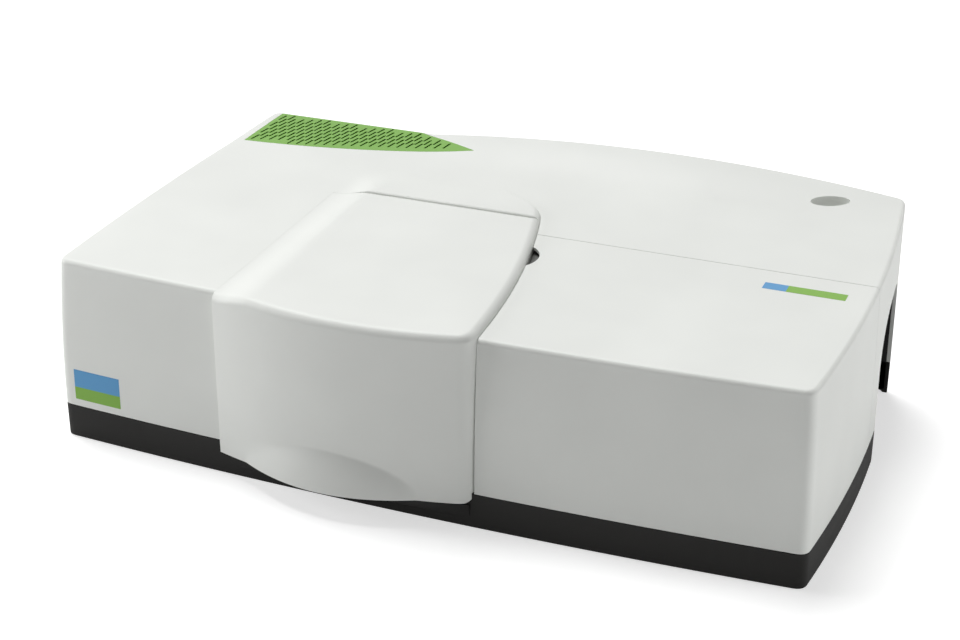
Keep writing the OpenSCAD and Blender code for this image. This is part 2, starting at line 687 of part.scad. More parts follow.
// A cell socket holds a cell of the usual 12.5 mm, 45 mm tall, with its light path at beam height
cell = 12.5;
cell_h = 45;
cell_t = 1.25;
socket = cell + fit;
cell_z = beam_z - 24;
light_r = 5;
screw_r = 3;
screw_z = beam_z + 6;
knob_r = 9;
knob_l = 10;
module cell_holder(y) {
    z0 = plate_z + plate_t;
    color("#1f2022") difference() {
        union() {
            plate(holder_x - holder_w, y - holder_foot_d / 2, z0, 2 * holder_w, holder_foot_d, holder_foot_h);
            plate(holder_x - holder_w / 2, y - holder_d / 2, z0, holder_w, holder_d, beam_z + 14 - z0);
        }
        plate(holder_x - socket / 2, y - socket / 2, cell_z, socket, socket, far);
        translate([holder_x - holder_w, y, beam_z]) x_rod(light_r, 2 * holder_w);
        translate([holder_x, y - socket / 2 - holder_d, screw_z])
            y_rod(screw_r + pin_play, holder_d + socket / 2);
        for (s = [-1, 1]) translate([holder_x + s * (holder_w - 8), y, 0])
            cylinder(r = 2.6, h = far, $fn = 32);
    }
}
module sample_holder() { cell_holder(sample_y); }
module reference_holder() { cell_holder(reference_y); }
module holder_screws() {
    color("#b9bbbd") for (y = beam_y) translate([holder_x, y - holder_d / 2 - knob_l - 4, screw_z]) {
        y_rod(screw_r, holder_d / 2 - socket / 2 + knob_l + 3);
        difference() {
            y_rod(knob_r, knob_l);
            for (a = [0:30:330]) rotate([0, a, 0]) translate([knob_r, -1, 0]) y_rod(0.9, knob_l + 2);
        }
    }
}
module cuvettes() {
    color("#cfe2ea", 0.5) for (y = beam_y) translate([holder_x - cell / 2, y - cell / 2, cell_z])
        difference() {
            cube([cell, cell, cell_h]);
            translate([cell_t, cell_t, cell_t]) cube([cell - 2 * cell_t, cell - 2 * cell_t, cell_h]);
        }
}
window_t = 3;
module beam_windows() {
    color("#d8e6ee", 0.4) for (y = beam_y, x = [comp_left - window_t, comp_right]) translate([x, y, beam_z])
        x_rod(window_r, window_t);
}
module window_bezels() {
    color("#3a3c3e") for (y = beam_y, x = [comp_left - window_t, comp_right]) translate([x, y, beam_z])
        rotate([0, 90, 0]) tube(window_r + 5, window_r + pin_play, window_t);
}

// Power supply at the right rear, before the panel with the connections
panel_at = rear_y - 12;
panel_foot = 16;
psu_w = 112;
psu_d = 150;
psu_h = 62;
psu_t = 1.5;
psu_x = half_w - 80 - psu_w;
psu_y = panel_at - panel_foot - 26.8 - psu_d;

// Optical bench: an L-shaped casting around the sample compartment
bench_t = 12;
bench_left = 6 - pocket_back;
bench_front = front_y + 30;
bench_right = psu_x - 18;
bench_rear = rear_y - 16;
bench_step = lid_back + 12;
arm_right = comp_left - 14;
cast_rib_h = 10;
cast_rib_t = 6;
cast_rib_x = [for (share = [0.26, 0.54, 0.82]) mix(arm_right, bench_right, share)];
module optical_bench() {
    z0 = bench_z - cast_rib_h;
    color("#a9adb0") union() {
        translate([0, 0, bench_z]) linear_extrude(height = bench_t)
            polygon([[bench_left, bench_front], [arm_right, bench_front], [arm_right, bench_step],
                [bench_right, bench_step], [bench_right, bench_rear], [bench_left, bench_rear]]);
        for (x = [bench_left, arm_right - cast_rib_t])
            plate(x, bench_front, z0, cast_rib_t, bench_step - bench_front, cast_rib_h);
        for (y = [bench_step, bench_rear - cast_rib_t])
            plate(arm_right - cast_rib_t, y, z0, bench_right - arm_right + cast_rib_t, cast_rib_t,
                cast_rib_h);
        for (x = cast_rib_x)
            plate(x, bench_step + cast_rib_t, z0, cast_rib_t, bench_rear - bench_step - 2 * cast_rib_t,
                cast_rib_h);
    }
}
mount_in = 40;
mount_places = [[bench_left + mount_in, bench_front + mount_in], [bench_left + mount_in, bench_rear - mount_in],
    [arm_right - mount_in, bench_front + mount_in], [bench_right - mount_in, bench_rear - mount_in],
    [bench_right - mount_in, bench_step + mount_in]];
mount_r = 15;
mount_waist_r = 11;
module vibration_mounts() {
    z0 = foot_h + tray_wall;
    h = bench_z - z0;
    color("#1b1b1b") for (p = mount_places) translate([p[0], p[1], z0]) rotate_extrude($fn = 48)
        polygon([[0, 0], [mount_r, 0], [mount_r, 4], [mount_waist_r, h / 2], [mount_r, h - 4],
            [mount_r, h], [0, h]]);
}

bench_top = bench_z + bench_t;
lamp_left = bench_left + 6;
lamp_w = 124;
lamp_right = lamp_left + lamp_w;
lamp_rear = bench_rear - 4;
lamp_d = 104.8;
lamp_front = lamp_rear - lamp_d;
mono_left = lamp_right + 64;
mono_front = bench_step + 4;
mono_rear = bench_rear - 4;
mono_right = bench_right - 6;
mono_t = 4;
mono_h = 150;
module monochromator_walls() {
    w = mono_right - mono_left;
    d = mono_rear - mono_front;
    color("#2e3032") translate([mono_left, mono_front, bench_top]) difference() {
        cube([w, d, mono_h]);
        translate([mono_t, mono_t, -1]) cube([w - 2 * mono_t, d - 2 * mono_t, mono_h + 2]);
        translate([-1, d - 40, beam_z - bench_top]) x_rod(8, mono_t + 2);
        translate([30, -1, beam_z - bench_top]) y_rod(8, mono_t + 2);
    }
}
module monochromator_roof() {
    w = mono_right - mono_left;
    d = mono_rear - mono_front;
    color("#3a3d40") translate([mono_left, mono_front, bench_top + mono_h]) {
        cube([w, d, 2]);
        for (x = [0.1, 0.5, 0.9], y = [0.04, 0.96]) translate([x * w, y * d, 2])
            cylinder(r = 3.5, h = 2.5, $fn = 24);
    }
}
turret_y = (mono_front + mono_rear) / 2;
turret_share = 0.225;
turret_x = [mix(mono_left, mono_right, turret_share), mix(mono_right, mono_left, turret_share)];
turret_r = 46;
module turret(x) {
    color("#b4b7ba") translate([x, turret_y, bench_top + fit]) {
        cylinder(r = turret_r, h = 8, $fn = 72);
        cylinder(r = 9, h = 100, $fn = 48);
        plate(-30, -4, 8, 60, 8, 80);
    }
}
module gratings(x) {
    color("#c7b8e0") translate([x, turret_y, bench_top + fit + 14]) for (s = [-1, 1])
        plate(-30, s * 14 - 5, 0, 60, 10, 60);
}
module grating_turret_1() { turret(turret_x[0]); }
module grating_turret_2() { turret(turret_x[1]); }
module gratings_1() { gratings(turret_x[0]); }
module gratings_2() { gratings(turret_x[1]); }

mirror_r = 32;
mono_mid = (mono_left + mono_right) / 2;
collimator_x = [mono_left + mono_t + 22, mono_mid - 30, mono_mid + 20, mono_right - mono_t - 22];
mirror_t = 12;
mirror_focal_r = 300;
module collimating_mirrors() {
    color("#dfe5ea") for (x = collimator_x, s = x < mono_mid ? -1 : 1)
        translate([x + s * mirror_t / 2, turret_y, beam_z]) rotate([0, -90 * s, 0]) rotate_extrude($fn = 72)
            polygon(concat([[0, 0], [mirror_r, 0]], [for (i = [8:-1:0]) let (r = mirror_r * i / 8)
                [r, mirror_t - 3 + r * r / (2 * mirror_focal_r)]]));
}
module mirror_stands() {
    color("#55585b") for (x = collimator_x, s = x < mono_mid ? -1 : 1)
        translate([x + s * mirror_t / 2, 0, 0]) {
        plate(s > 0 ? 0 : -5, turret_y - mirror_r, bench_top, 5, 2 * mirror_r, beam_z + mirror_r - bench_top);
        plate(s > 0 ? 0 : -14, turret_y - mirror_r, bench_top, 14, 2 * mirror_r, 5);
    }
}
slit_x = mono_mid - 5;
slit_gap = 1.5;
module slit_frame() {
    h = beam_z + 26 - bench_top;
    color("#4a4d50") translate([slit_x - 2, turret_y - 40, bench_top]) difference() {
        cube([4, 80, h]);
        translate([-1, 32, beam_z - bench_top - 12]) cube([6, 16, 24]);
    }
}
jaw_l = 24;
jaw_h = 28;
jaw_t = 1.2;
module slit_jaw(s) {
    color("#8d9194") translate([slit_x + 2 + fit, turret_y, beam_z]) difference() {
        x_prism(0, jaw_t, [[s * slit_gap / 2, -jaw_h / 2], [s * (slit_gap / 2 + jaw_l), -jaw_h / 2],
            [s * (slit_gap / 2 + jaw_l), jaw_h / 2], [s * slit_gap / 2, jaw_h / 2]]);
        translate([-1, s * 16, 0]) x_rod(2, 4);
    }
}
module slit_jaw_front() { slit_jaw(-1); }
module slit_jaw_rear() { slit_jaw(1); }

// Lamp housing on the bench, under the vent grille
lamp_h = 140;
lamp_back = 40;
module lamp_housing() {
    w = lamp_right - lamp_left;
    d = lamp_rear - lamp_front;
    color("#9fa3a6") translate([lamp_left, lamp_front, bench_top]) difference() {
        cube([w, d, lamp_h]);
        translate([2, 2, 2]) cube([w - 4, d - 4, lamp_h]);
        translate([w - 4, d - lamp_back, beam_z - bench_top]) x_rod(10, 6);
        for (i = [0:6]) plate(16 + i * 18, -1, 24, 8, 4, 70);
    }
}
lamp_y = lamp_rear - lamp_back;
lamp_x = [lamp_left + 24, lamp_left + 62];
socket_h = 22;
lamp_foot_r = 6;
bulb_y = lamp_front + 26;
module lamp_sockets() {
    color("#d9d4c8") for (x = lamp_x) translate([x, bulb_y, bench_top + 2])
        tube(15, lamp_foot_r + pin_play, socket_h);
}
module deuterium_lamp() {
    color("#dfe8ee", 0.6) translate([lamp_x[0], bulb_y, bench_top + 2]) {
        cylinder(r = lamp_foot_r, h = socket_h, $fn = 48);
        translate([0, 0, socket_h]) rotate_extrude($fn = 64)
            polygon([[0, 0], [17, 0], [17, 58], [13, 66], [6, 70], [0, 71]]);
    }
}
module halogen_lamp() {
    color("#eee6d0", 0.6) translate([lamp_x[1], bulb_y, bench_top + 2]) {
        cylinder(r = lamp_foot_r, h = socket_h, $fn = 48);
        translate([0, 0, socket_h]) rotate_extrude($fn = 48)
            polygon([[0, 0], [8, 0], [8, 8], [6, 12], [6, 34], [4, 38], [0, 40]]);
    }
}
flip_x = lamp_right - 22;
flip_motor_h = 28;
module source_mirror() {
    color("#d5dbe0") translate([flip_x, lamp_y, bench_top + 2 + flip_motor_h + fit]) {
        plate(-18, -2, 40, 36, 4, 36);
        cylinder(r = 5, h = 44, $fn = 32);
    }
}
wheel_x = lamp_right + 38;
wheel_r = 34;
shaft_r = 2.5;
wheel_axis_z = beam_z - 24;
module filter_wheel() {
    color("#2b2d30") translate([wheel_x, lamp_y, wheel_axis_z]) difference() {
        union() { x_rod(wheel_r, 4); translate([-6, 0, 0]) x_rod(7, 10); }
        for (a = [0:60:300]) rotate([a, 0, 0]) translate([-1, 0, 24]) x_rod(7, 6);
        translate([-7, 0, 0]) x_rod(shaft_r + pin_play, 20);
    }
}
module filter_wheel_motor() {
    color("#5d6063") {
        translate([wheel_x - 34, lamp_y, wheel_axis_z]) { x_rod(13, 26); x_rod(shaft_r, 38); }
        plate(wheel_x - 32, lamp_y - 10, bench_top, 20, 20, wheel_axis_z - 10 - bench_top);
    }
}

chopper_at = [lid_left - 97, hinge_y - 6];
module chopper_wheel() {
    r = 50;
    color("#1d1e20") translate([chopper_at[0], chopper_at[1], beam_z - 30]) difference() {
        union() { y_rod(r, 3); translate([0, -6, 0]) y_rod(8, 9); }
        for (a = [0:180:180]) rotate([0, a, 0]) translate([0, -1, 0]) rotate([-90, 0, 0])
            linear_extrude(height = 5) polygon([[14, -8], [r - 6, -22], [r - 6, 22], [14, 8]]);
        translate([0, -7, 0]) y_rod(shaft_r + pin_play, 20);
    }
}
module chopper_motor() {
    color("#5d6063") translate([chopper_at[0], chopper_at[1] + 8, beam_z - 30]) {
        y_rod(15, 34);
        translate([0, -14, 0]) y_rod(shaft_r, 20);
        plate(-12, 4, bench_top - beam_z + 30, 24, 24, beam_z - 30 - 12 - bench_top);
    }
}
fold_x = [arm_right - 40, bench_left + 36];
fold_points = [for (x = fold_x, y = beam_y) [x, y]];
fold_w = 40;
fold_t = 5;
module fold_mirrors() {
    color("#dfe5ea") for (p = fold_points) translate([p[0], p[1], beam_z - fold_w / 2]) rotate([0, 0, 45])
        plate(-fold_w / 2, 0, 0, fold_w, fold_t, fold_w);
}
module fold_mirror_stands() {
    color("#55585b") for (p = fold_points) translate([p[0], p[1], bench_top]) rotate([0, 0, 45]) {
        plate(-fold_w / 2, fold_t, 0, fold_w, 4, beam_z + fold_w / 2 - bench_top);
        plate(-fold_w / 2, fold_t, 0, fold_w, 22, 5);
    }
}

// Detector side
det_left = right_x(comp_front) + 6;
det_right = half_w - 40;
det_front = front_y + 14;
det_rear = panel_y - 12;
det_z = bench_z + 4;
det_t = 3;
det_top = det_z + det_t;
module detector_tray() {
    color("#242526") {
        translate([0, 0, det_z]) linear_extrude(height = 3) polygon([[comp_right + 12, det_front],
            [det_right, det_front], [det_right, det_rear], [comp_right + 12, det_rear]]);
        plate(comp_right + 12, det_front, det_z, 3, det_rear - det_front,
            plane_z(det_front) - wall - 26 - det_z);
        for (x = [comp_right + 30, det_right - 30], y = [det_front + 30, det_rear - 30])
            translate([x, y, foot_h + tray_wall]) cylinder(r = 6, h = det_z - foot_h - tray_wall, $fn = 32);
    }
}
pmt_at = [half_w - 110, sample_y];
pmt_r = 30;
pmt_h = 130;
pmt_t = 6;
pmt_window = 18;
module photomultiplier_housing() {
    collar = 4;
    color("#33363a") translate([pmt_at[0], pmt_at[1], det_top]) difference() {
        union() {
            rotate_extrude($fn = 72) polygon([[0, 0], [pmt_r, 0], [pmt_r, pmt_h - 3 * collar],
                [pmt_r + collar, pmt_h - 3 * collar], [pmt_r + collar, pmt_h - collar], [pmt_r, pmt_h - collar],
                [pmt_r, pmt_h], [0, pmt_h]]);
            plate(-pmt_r - pmt_t, -pmt_r - pmt_t, 0, 2 * (pmt_r + pmt_t), 2 * (pmt_r + pmt_t), pmt_t);
        }
        translate([0, 0, pmt_t + 2]) cylinder(r = pmt_r - pmt_t, h = pmt_h - pmt_r, $fn = 72);
        plate(-pmt_r - 10, -pmt_window / 2, beam_z - det_top - pmt_window / 2, pmt_r, pmt_window, pmt_window);
    }
}
ir_at = [half_w - 110, reference_y + 20];
ir_w = 44;
sink_w = 48;
sink_fins = 7;
module infrared_detector() {
    color("#7a7d80") translate([ir_at[0], ir_at[1], 0]) {
        plate(-ir_w / 2, -ir_w / 2, det_top, ir_w, ir_w, beam_z + sink_w / 2 - det_top);
        translate([-ir_w / 2 - 12, 0, beam_z]) x_rod(14, 12);
    }
}
module heat_sink() {
    fin_t = 2.5;
    color("#1d1e20") translate([ir_at[0] + ir_w / 2, ir_at[1] - sink_w / 2, beam_z - sink_w / 2]) {
        cube([5, sink_w, sink_w]);
        for (i = [0:sink_fins]) plate(5, i * (sink_w - fin_t) / sink_fins, 0, ir_w / 2, fin_t, sink_w);
    }
}
selector_at = [mix(det_left, pmt_at[0], 0.55), (sample_y + reference_y) / 2 + 5];
selector_motor_h = 30;
selector_w = 48;
module selector_mirror() {
    rise = beam_z - selector_w / 2 - det_top - selector_motor_h;
    color("#d5dbe0") translate([selector_at[0], selector_at[1], det_top + selector_motor_h + fit]) {
        cylinder(r = 5, h = rise + 4, $fn = 32);
        plate(-selector_w / 2, -2, rise, selector_w, 5, selector_w - 4);
    }
}
module mirror_motors() {
    color("#3b3d40") {
        translate([flip_x, lamp_y, bench_top + 2]) cylinder(r = 14, h = flip_motor_h, $fn = 48);
        translate([selector_at[0], selector_at[1], det_top]) cylinder(r = 16, h = selector_motor_h, $fn = 48);
    }
}
// Black pockets behind the hand-holds, open to the outside
module hand_pockets() {
    color("#161616") for (s = [-1, 1]) mirror([s < 0 ? 1 : 0, 0, 0]) {
        deep = pocket_face(s) - pocket_back;
        difference() {
            plate(pocket_back, hand_front - pocket_wall, seam_z, deep, hand_l + 2 * pocket_wall,
                hand_top + pocket_wall - seam_z);
            plate(pocket_back + pocket_wall, hand_front, seam_z + pocket_wall, deep, hand_l,
                hand_top - seam_z - pocket_wall);
        }
    }
}

// Electronics and rear connections
psu_slots = 9;
module power_supply() {
    edge = 14;
    space = (psu_w - 2 * edge) / psu_slots;
    color("#b9bcbe") translate([psu_x, psu_y, foot_h + tray_wall]) difference() {
        cube([psu_w, psu_d, psu_h]);
        translate([psu_t, psu_t, psu_t]) cube([psu_w - 2 * psu_t, psu_d - 2 * psu_t, psu_h - 2 * psu_t]);
        for (i = [0:psu_slots - 1]) plate(edge + i * space, -1, edge, space / 2, psu_t + 2, psu_h - 2 * edge);
    }
}
// The main board stands on the power supply
board_w = 92;
board_d = 130;
board_t = 1.6;
board_lift = 50;
board_edge = 6;
module main_board() {
    z0 = foot_h + tray_wall + psu_h;
    color("#2c6b3f") translate([psu_x + 12, psu_y + 8, z0]) {
        plate(0, 0, board_lift, board_w, board_d, board_t);
        for (x = [board_edge, board_w - board_edge], y = [board_edge, board_d - board_edge])
            translate([x, y, 0]) cylinder(r = 3, h = board_lift, $fn = 24);
        for (i = [0:2]) plate(board_w * (0.16 + 0.26 * i), board_d * 0.15, board_lift + board_t, 16, 16, 3);
        plate(board_w * 0.2, board_d * 0.46, board_lift + board_t, 60, 30, 10);
    }
}
// Fan that draws air past the lamps
fan_size = 80;
fan_d = 22;
fan_bore_r = 37;
fan_hub_r = 13;
fan_shaft_r = 2.5;
fan_blades = 7;
fan_x = lamp_left + 24;
fan_y = lamp_front - fan_d - 12;
module fan_frame() {
    color("#2a2b2d") translate([fan_x, fan_y, bench_top]) difference() {
        cube([fan_size, fan_d, fan_size]);
        translate([fan_size / 2, -1, fan_size / 2]) y_rod(fan_bore_r, fan_d + 2);
    }
    color("#2a2b2d") translate([fan_x + fan_size / 2, fan_y, bench_top + fan_size / 2]) {
        translate([0, fan_d - 3, 0]) y_rod(fan_hub_r + 1, 3);
        translate([0, 6, 0]) y_rod(fan_shaft_r, fan_d - 8);
        for (a = [45:90:315]) rotate([0, a, 0])
            plate(fan_hub_r, fan_d - 3, -2, fan_bore_r - fan_hub_r + 1, 3, 4);
    }
}
module fan_rotor() {
    blade = fan_bore_r - fan_hub_r;
    color("#38393b") translate([fan_x + fan_size / 2, fan_y + 4, bench_top + fan_size / 2]) difference() {
        union() {
            y_rod(fan_hub_r, fan_hub_r);
            for (i = [1:fan_blades]) rotate([0, i * 360 / fan_blades, 0])
                translate([fan_hub_r - 2, fan_hub_r / 2, 0]) rotate([35, 0, 0])
                    plate(0, -5.5, -1, blade, 11, 2);
        }
        translate([0, -1, 0]) y_rod(fan_shaft_r + pin_play, 20);
    }
}
panel_t = 2;
module rear_panel() {
    x0 = rear_port[0] - 8;
    w = rear_port[1] - rear_port[0] + 16;
    z0 = foot_h + tray_wall;
    color("#a5a8aa") difference() {
        union() {
            plate(x0, panel_at, z0, w, panel_t, rear_port[3] + 10 - z0);
            plate(x0, panel_at - panel_foot, z0, w, panel_foot, panel_t);
        }
        plate(inlet_x - inlet_w / 2, panel_at - 1, inlet_z - inlet_h / 2, inlet_w, 4, inlet_h);
        plate(switch_x - switch_w / 2 - case_t, panel_at - 1, inlet_z - switch_h / 2 - case_t,
            switch_w + 2 * case_t, 4, switch_h + 2 * case_t);
        plate(serial_x - serial_w / 2, panel_at - 1, serial_z - 5, serial_w, 4, 10);
        for (x = purge_x) translate([x, panel_at - 1, serial_z]) y_rod(purge_r + pin_play, 4);
    }
}
inlet_x = rear_port[0] + 32;
inlet_w = 28;
inlet_h = 20;
inlet_z = rear_port[2] + 24;
module mains_inlet() {
    color("#18191a") translate([inlet_x, panel_at, inlet_z]) difference() {
        union() {
            plate(-inlet_w / 2, -24, -inlet_h / 2, inlet_w, 26, inlet_h);
            plate(-inlet_w / 2 - 9, panel_t, -inlet_h / 2 - 2, inlet_w + 18, 3, inlet_h + 4);
        }
        plate(-inlet_w / 2 + 2, -16, -inlet_h / 2 + 2, inlet_w - 4, 30, inlet_h - 4);
    }
    color("#c9b26a") for (x = [-6, 0, 6]) plate(inlet_x + x - 1, panel_at - 18, inlet_z - 2, 2, 15, 4);
    // Housing of the rocker beside the inlet
    color("#18191a") translate([switch_x, panel_at, inlet_z]) difference() {
        plate(-switch_w / 2 - case_t, -12, -switch_h / 2 - case_t,
            switch_w + 2 * case_t, 14.5, switch_h + 2 * case_t);
        plate(-switch_w / 2, -10, -switch_h / 2, switch_w, 20, switch_h);
        translate([-switch_w, 0, 0]) x_rod(pivot_r + pin_play, 2 * switch_w);
    }
}
case_t = 1.5;
pivot_r = 1.2;
switch_x = rear_port[0] + 78;
switch_w = 13;
switch_h = 20;
module power_switch() {
    w = switch_w - 2 * fit;
    color("#141516") translate([switch_x, panel_at, inlet_z]) {
        x_prism(-w / 2, w, [[-3, -8.5], [4.4, -8.5], [2.2, 0], [3.6, 8.5], [-3, 8.5]]);
        translate([-switch_w / 2 - case_t + fit, 0, 0]) x_rod(pivot_r, switch_w + 2 * case_t - 2 * fit);
    }
}
serial_x = rear_port[0] + 40;
serial_z = rear_port[3] - 18;
serial_w = 30;
module serial_connector() {
    color("#bfc2c4") translate([serial_x, panel_at, serial_z]) {
        plate(-serial_w / 2, -6, -5, serial_w, 8, 10);
        difference() {
            plate(-serial_w / 2 + 3, 2, -4, serial_w - 6, 6, 8);
            plate(-serial_w / 2 + 4, 3, -3, serial_w - 8, 8, 6);
        }
    }
}
purge_x = [rear_port[0] + 88, rear_port[0] + 106];
purge_r = 4;
purge_bore_r = 1.5;
barb_r = 3.2;
module purge_fittings() {
    color("#c7a654") for (x = purge_x) translate([x, panel_at, serial_z]) rotate([-90, 0, 0])
        rotate_extrude($fn = 48) polygon([[purge_bore_r, -12], [purge_r, -12], [purge_r, 2], [purge_r + 3, 2],
            [purge_r + 3, 6], [barb_r, 6], [purge_r, 9], [barb_r, 12], [purge_r, 15], [barb_r - 0.6, 19],
            [purge_bore_r, 19]]);
}

translate([0, set_back, 0]) {
    base_tray();
    rubber_feet();
    main_cover();
    vent_grille();
    sample_lid();
    detector_cover();
    lid_liner();
    lid_hinge_knuckles();
    lid_hinge_brackets();
    lid_hinge_pins();
    light_seal();
    lid_sensor();
    sample_compartment();
    compartment_plate();
    sample_holder();
    reference_holder();
    holder_screws();
    cuvettes();
    beam_windows();
    window_bezels();
    optical_bench();
    vibration_mounts();
    monochromator_walls();
    monochromator_roof();
    grating_turret_1();
    gratings_1();
    grating_turret_2();
    gratings_2();
    collimating_mirrors();
    mirror_stands();
    slit_frame();
    slit_jaw_front();
    slit_jaw_rear();
    lamp_housing();
    deuterium_lamp();
    halogen_lamp();
    lamp_sockets();
    source_mirror();
    mirror_motors();
    filter_wheel();
    filter_wheel_motor();
    chopper_wheel();
    chopper_motor();
    fold_mirrors();
    fold_mirror_stands();
    detector_tray();
    photomultiplier_housing();
    infrared_detector();
    heat_sink();
    selector_mirror();
    hand_pockets();
    power_supply();
    main_board();
    fan_frame();
    fan_rotor();
    rear_panel();
    mains_inlet();
    power_switch();
    serial_connector();
    purge_fittings();
}
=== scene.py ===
import json
from math import cos, pi, radians, sin, sqrt

import bmesh
import bpy
import numpy as np
from mathutils import Matrix, Vector


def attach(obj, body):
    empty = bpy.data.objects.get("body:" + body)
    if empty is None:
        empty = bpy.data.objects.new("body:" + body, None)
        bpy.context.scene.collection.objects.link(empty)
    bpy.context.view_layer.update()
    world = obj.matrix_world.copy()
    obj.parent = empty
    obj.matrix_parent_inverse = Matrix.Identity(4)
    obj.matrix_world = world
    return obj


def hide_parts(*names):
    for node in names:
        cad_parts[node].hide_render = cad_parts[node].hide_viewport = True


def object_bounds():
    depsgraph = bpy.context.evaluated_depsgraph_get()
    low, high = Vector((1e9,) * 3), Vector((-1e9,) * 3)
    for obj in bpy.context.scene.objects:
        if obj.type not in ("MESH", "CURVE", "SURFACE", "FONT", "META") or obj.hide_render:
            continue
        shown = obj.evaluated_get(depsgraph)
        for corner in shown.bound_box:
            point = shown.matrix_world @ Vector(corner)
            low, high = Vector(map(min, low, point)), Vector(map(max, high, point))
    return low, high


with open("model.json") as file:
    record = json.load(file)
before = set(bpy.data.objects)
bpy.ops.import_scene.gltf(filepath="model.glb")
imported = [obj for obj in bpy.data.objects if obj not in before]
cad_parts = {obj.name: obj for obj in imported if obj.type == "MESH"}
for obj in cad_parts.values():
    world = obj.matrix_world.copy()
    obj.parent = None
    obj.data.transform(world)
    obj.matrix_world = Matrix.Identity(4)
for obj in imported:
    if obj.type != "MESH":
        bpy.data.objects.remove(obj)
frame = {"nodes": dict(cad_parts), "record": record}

cadBox = [list(corner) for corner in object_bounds()]
nodes = frame["nodes"]
mm = 0.001
print("frame loaded:", len(nodes), "nodes")

# The covers' common form, in mm: what a user would change about the outer shape
cover = {
    "halfWidth": cadBox[1][0] / mm, "halfDepth": 315.0, "height": cadBox[1][2] / mm,
    "seam": 48.0, "wall": 4.0, "gap": 0.8, "middle": (0.0, 20.0),
    "frontTop": 252.4, "rearTop": 283.5, "frontSet": 47.0, "rearSet": 18.2, "frontBow": 17.4,
    # four values stand for front, right, rear, left; the corners go round from the front left
    "edge": 6.5, "edgeIn": (6.5, 5.0, 4.0, 5.0), "lean": (8.0, 6.4, 0.0, 5.5),
    "cornerIn": (0.8, 8.6, 30.3, 22.6), "cornerRadius": 14.0,
    "crownX": 129.0, "crownHalf": 346.0, "crownRun": 105.0, "rearRise": 3.0, "riseRun": 140.0,
    "steps": (100, 60, 100, 60),
}
# The sample lid and the raised part behind it, in mm
lid = {
    "left": -263.0, "right": 92.5, "bowX": -70.0, "bowRadius": 565.0, "sideRadius": 1220.0,
    "lift": 10.0, "ramp": 62.0, "bottom": 31.0, "rise": 6.0, "foot": 11.0, "middle": (-90.0, -60.0),
    "corner": 18.0, "edge": 10.5, "skirt": 24.0, "hingeY": 46.0, "roll": 9.0, "leftPast": 30.0,
    "leftGap": 0.05, "leftOver": 1.0, "leftIn": 0.1, "underIn": 8.0, "underRear": 1.0, "seamOut": 0.6,
    "curlY": 66.0, "curlTurn": (28.0, 118.0), "curlEnd": (-75.0, 175.0), "farY": 176.0, "easeShort": 20.0,
    "lipX": -97.0, "lipHalf": 121.0, "lipHeight": 49.0, "lipOut": 19.5, "lipEase": (0.03, 0.22),
}
leastEdge = 3.0  # the inner skins keep at least this radius

# The finger lip makes the whole deeper, so everything sits this far back from the covers' own middle
setBack = cadBox[1][1] / mm - cover["halfDepth"]
frontY = -cover["halfDepth"] + cover["frontSet"]
rearY = cover["halfDepth"] - cover["rearSet"]
topSlope = (cover["rearTop"] - cover["frontTop"]) / (rearY - frontY)


def smoothStep(t):  # cubic ease from 0 to 1
    c = np.clip(t, 0, 1)
    return c * c * (3 - 2 * c)


def planeZ(y):  # height of the sloping top: a straight line from front to rear
    return cover["frontTop"] + topSlope * (y - frontY)


def crownAt(x):  # share of the rear crown at x: 1 minus the squared distance from its middle
    return np.maximum(0, 1 - ((x - cover["crownX"]) / cover["crownHalf"]) ** 2)


crownPeakY = cover["halfDepth"] - 3  # the highest point lies this far back on the rounded rear edge
crownFullY = cover["halfDepth"] - 10  # from here to the rear the crown has its full height
crownHeight = cover["height"] - planeZ(crownPeakY)


def topZ(x, y):
    # Sloping top plus the rear crown, a parabola along X that eases in along Y;
    # beside the crown the rear lifts a little
    across = crownAt(x)
    back = y - crownFullY
    lift = cover["rearRise"] * (1 - across) * smoothStep(1 + back / cover["riseRun"])
    return planeZ(y) + crownHeight * across * smoothStep(1 + back / cover["crownRun"]) + lift


def bowY(x):  # front of the lid: a shallow parabola about its middle
    return -cover["halfDepth"] + (x - lid["bowX"]) ** 2 / (2 * lid["bowRadius"])


bowEnd = bowY(lid["right"])


def rightX(y):  # right edge of the lid in plan: a parabola that starts square to the front
    return lid["right"] - np.maximum(0, y - bowEnd) ** 2 / (2 * lid["sideRadius"])


def padZ(x, y):  # top of the lid and the raised part: the lift eases in from the left and out to the rear
    run = lid["farY"] - lid["curlY"] - lid["easeShort"]
    ease = 1 - smoothStep((y - lid["curlY"]) / run)
    return planeZ(y) + lid["lift"] * smoothStep((x - lid["left"]) / lid["ramp"]) * ease


rampEnd = lid["left"] + lid["ramp"]
hingeZ = padZ(rampEnd + 1, lid["hingeY"]) - lid["roll"]
lidBack = lid["hingeY"] + lid["roll"] + cover["gap"]


def sideBulge(a, b):  # bulge of a side so that it peaks at the half width
    rise, turn = cover["halfWidth"] - (abs(a) + abs(b)) / 2, b - a
    return (rise + sqrt(rise * rise - turn * turn / 4)) / 2


cornerX = [-cover["halfWidth"] + cover["cornerIn"][0], cover["halfWidth"] - cover["cornerIn"][1],
           cover["halfWidth"] - cover["cornerIn"][2], -cover["halfWidth"] + cover["cornerIn"][3]]


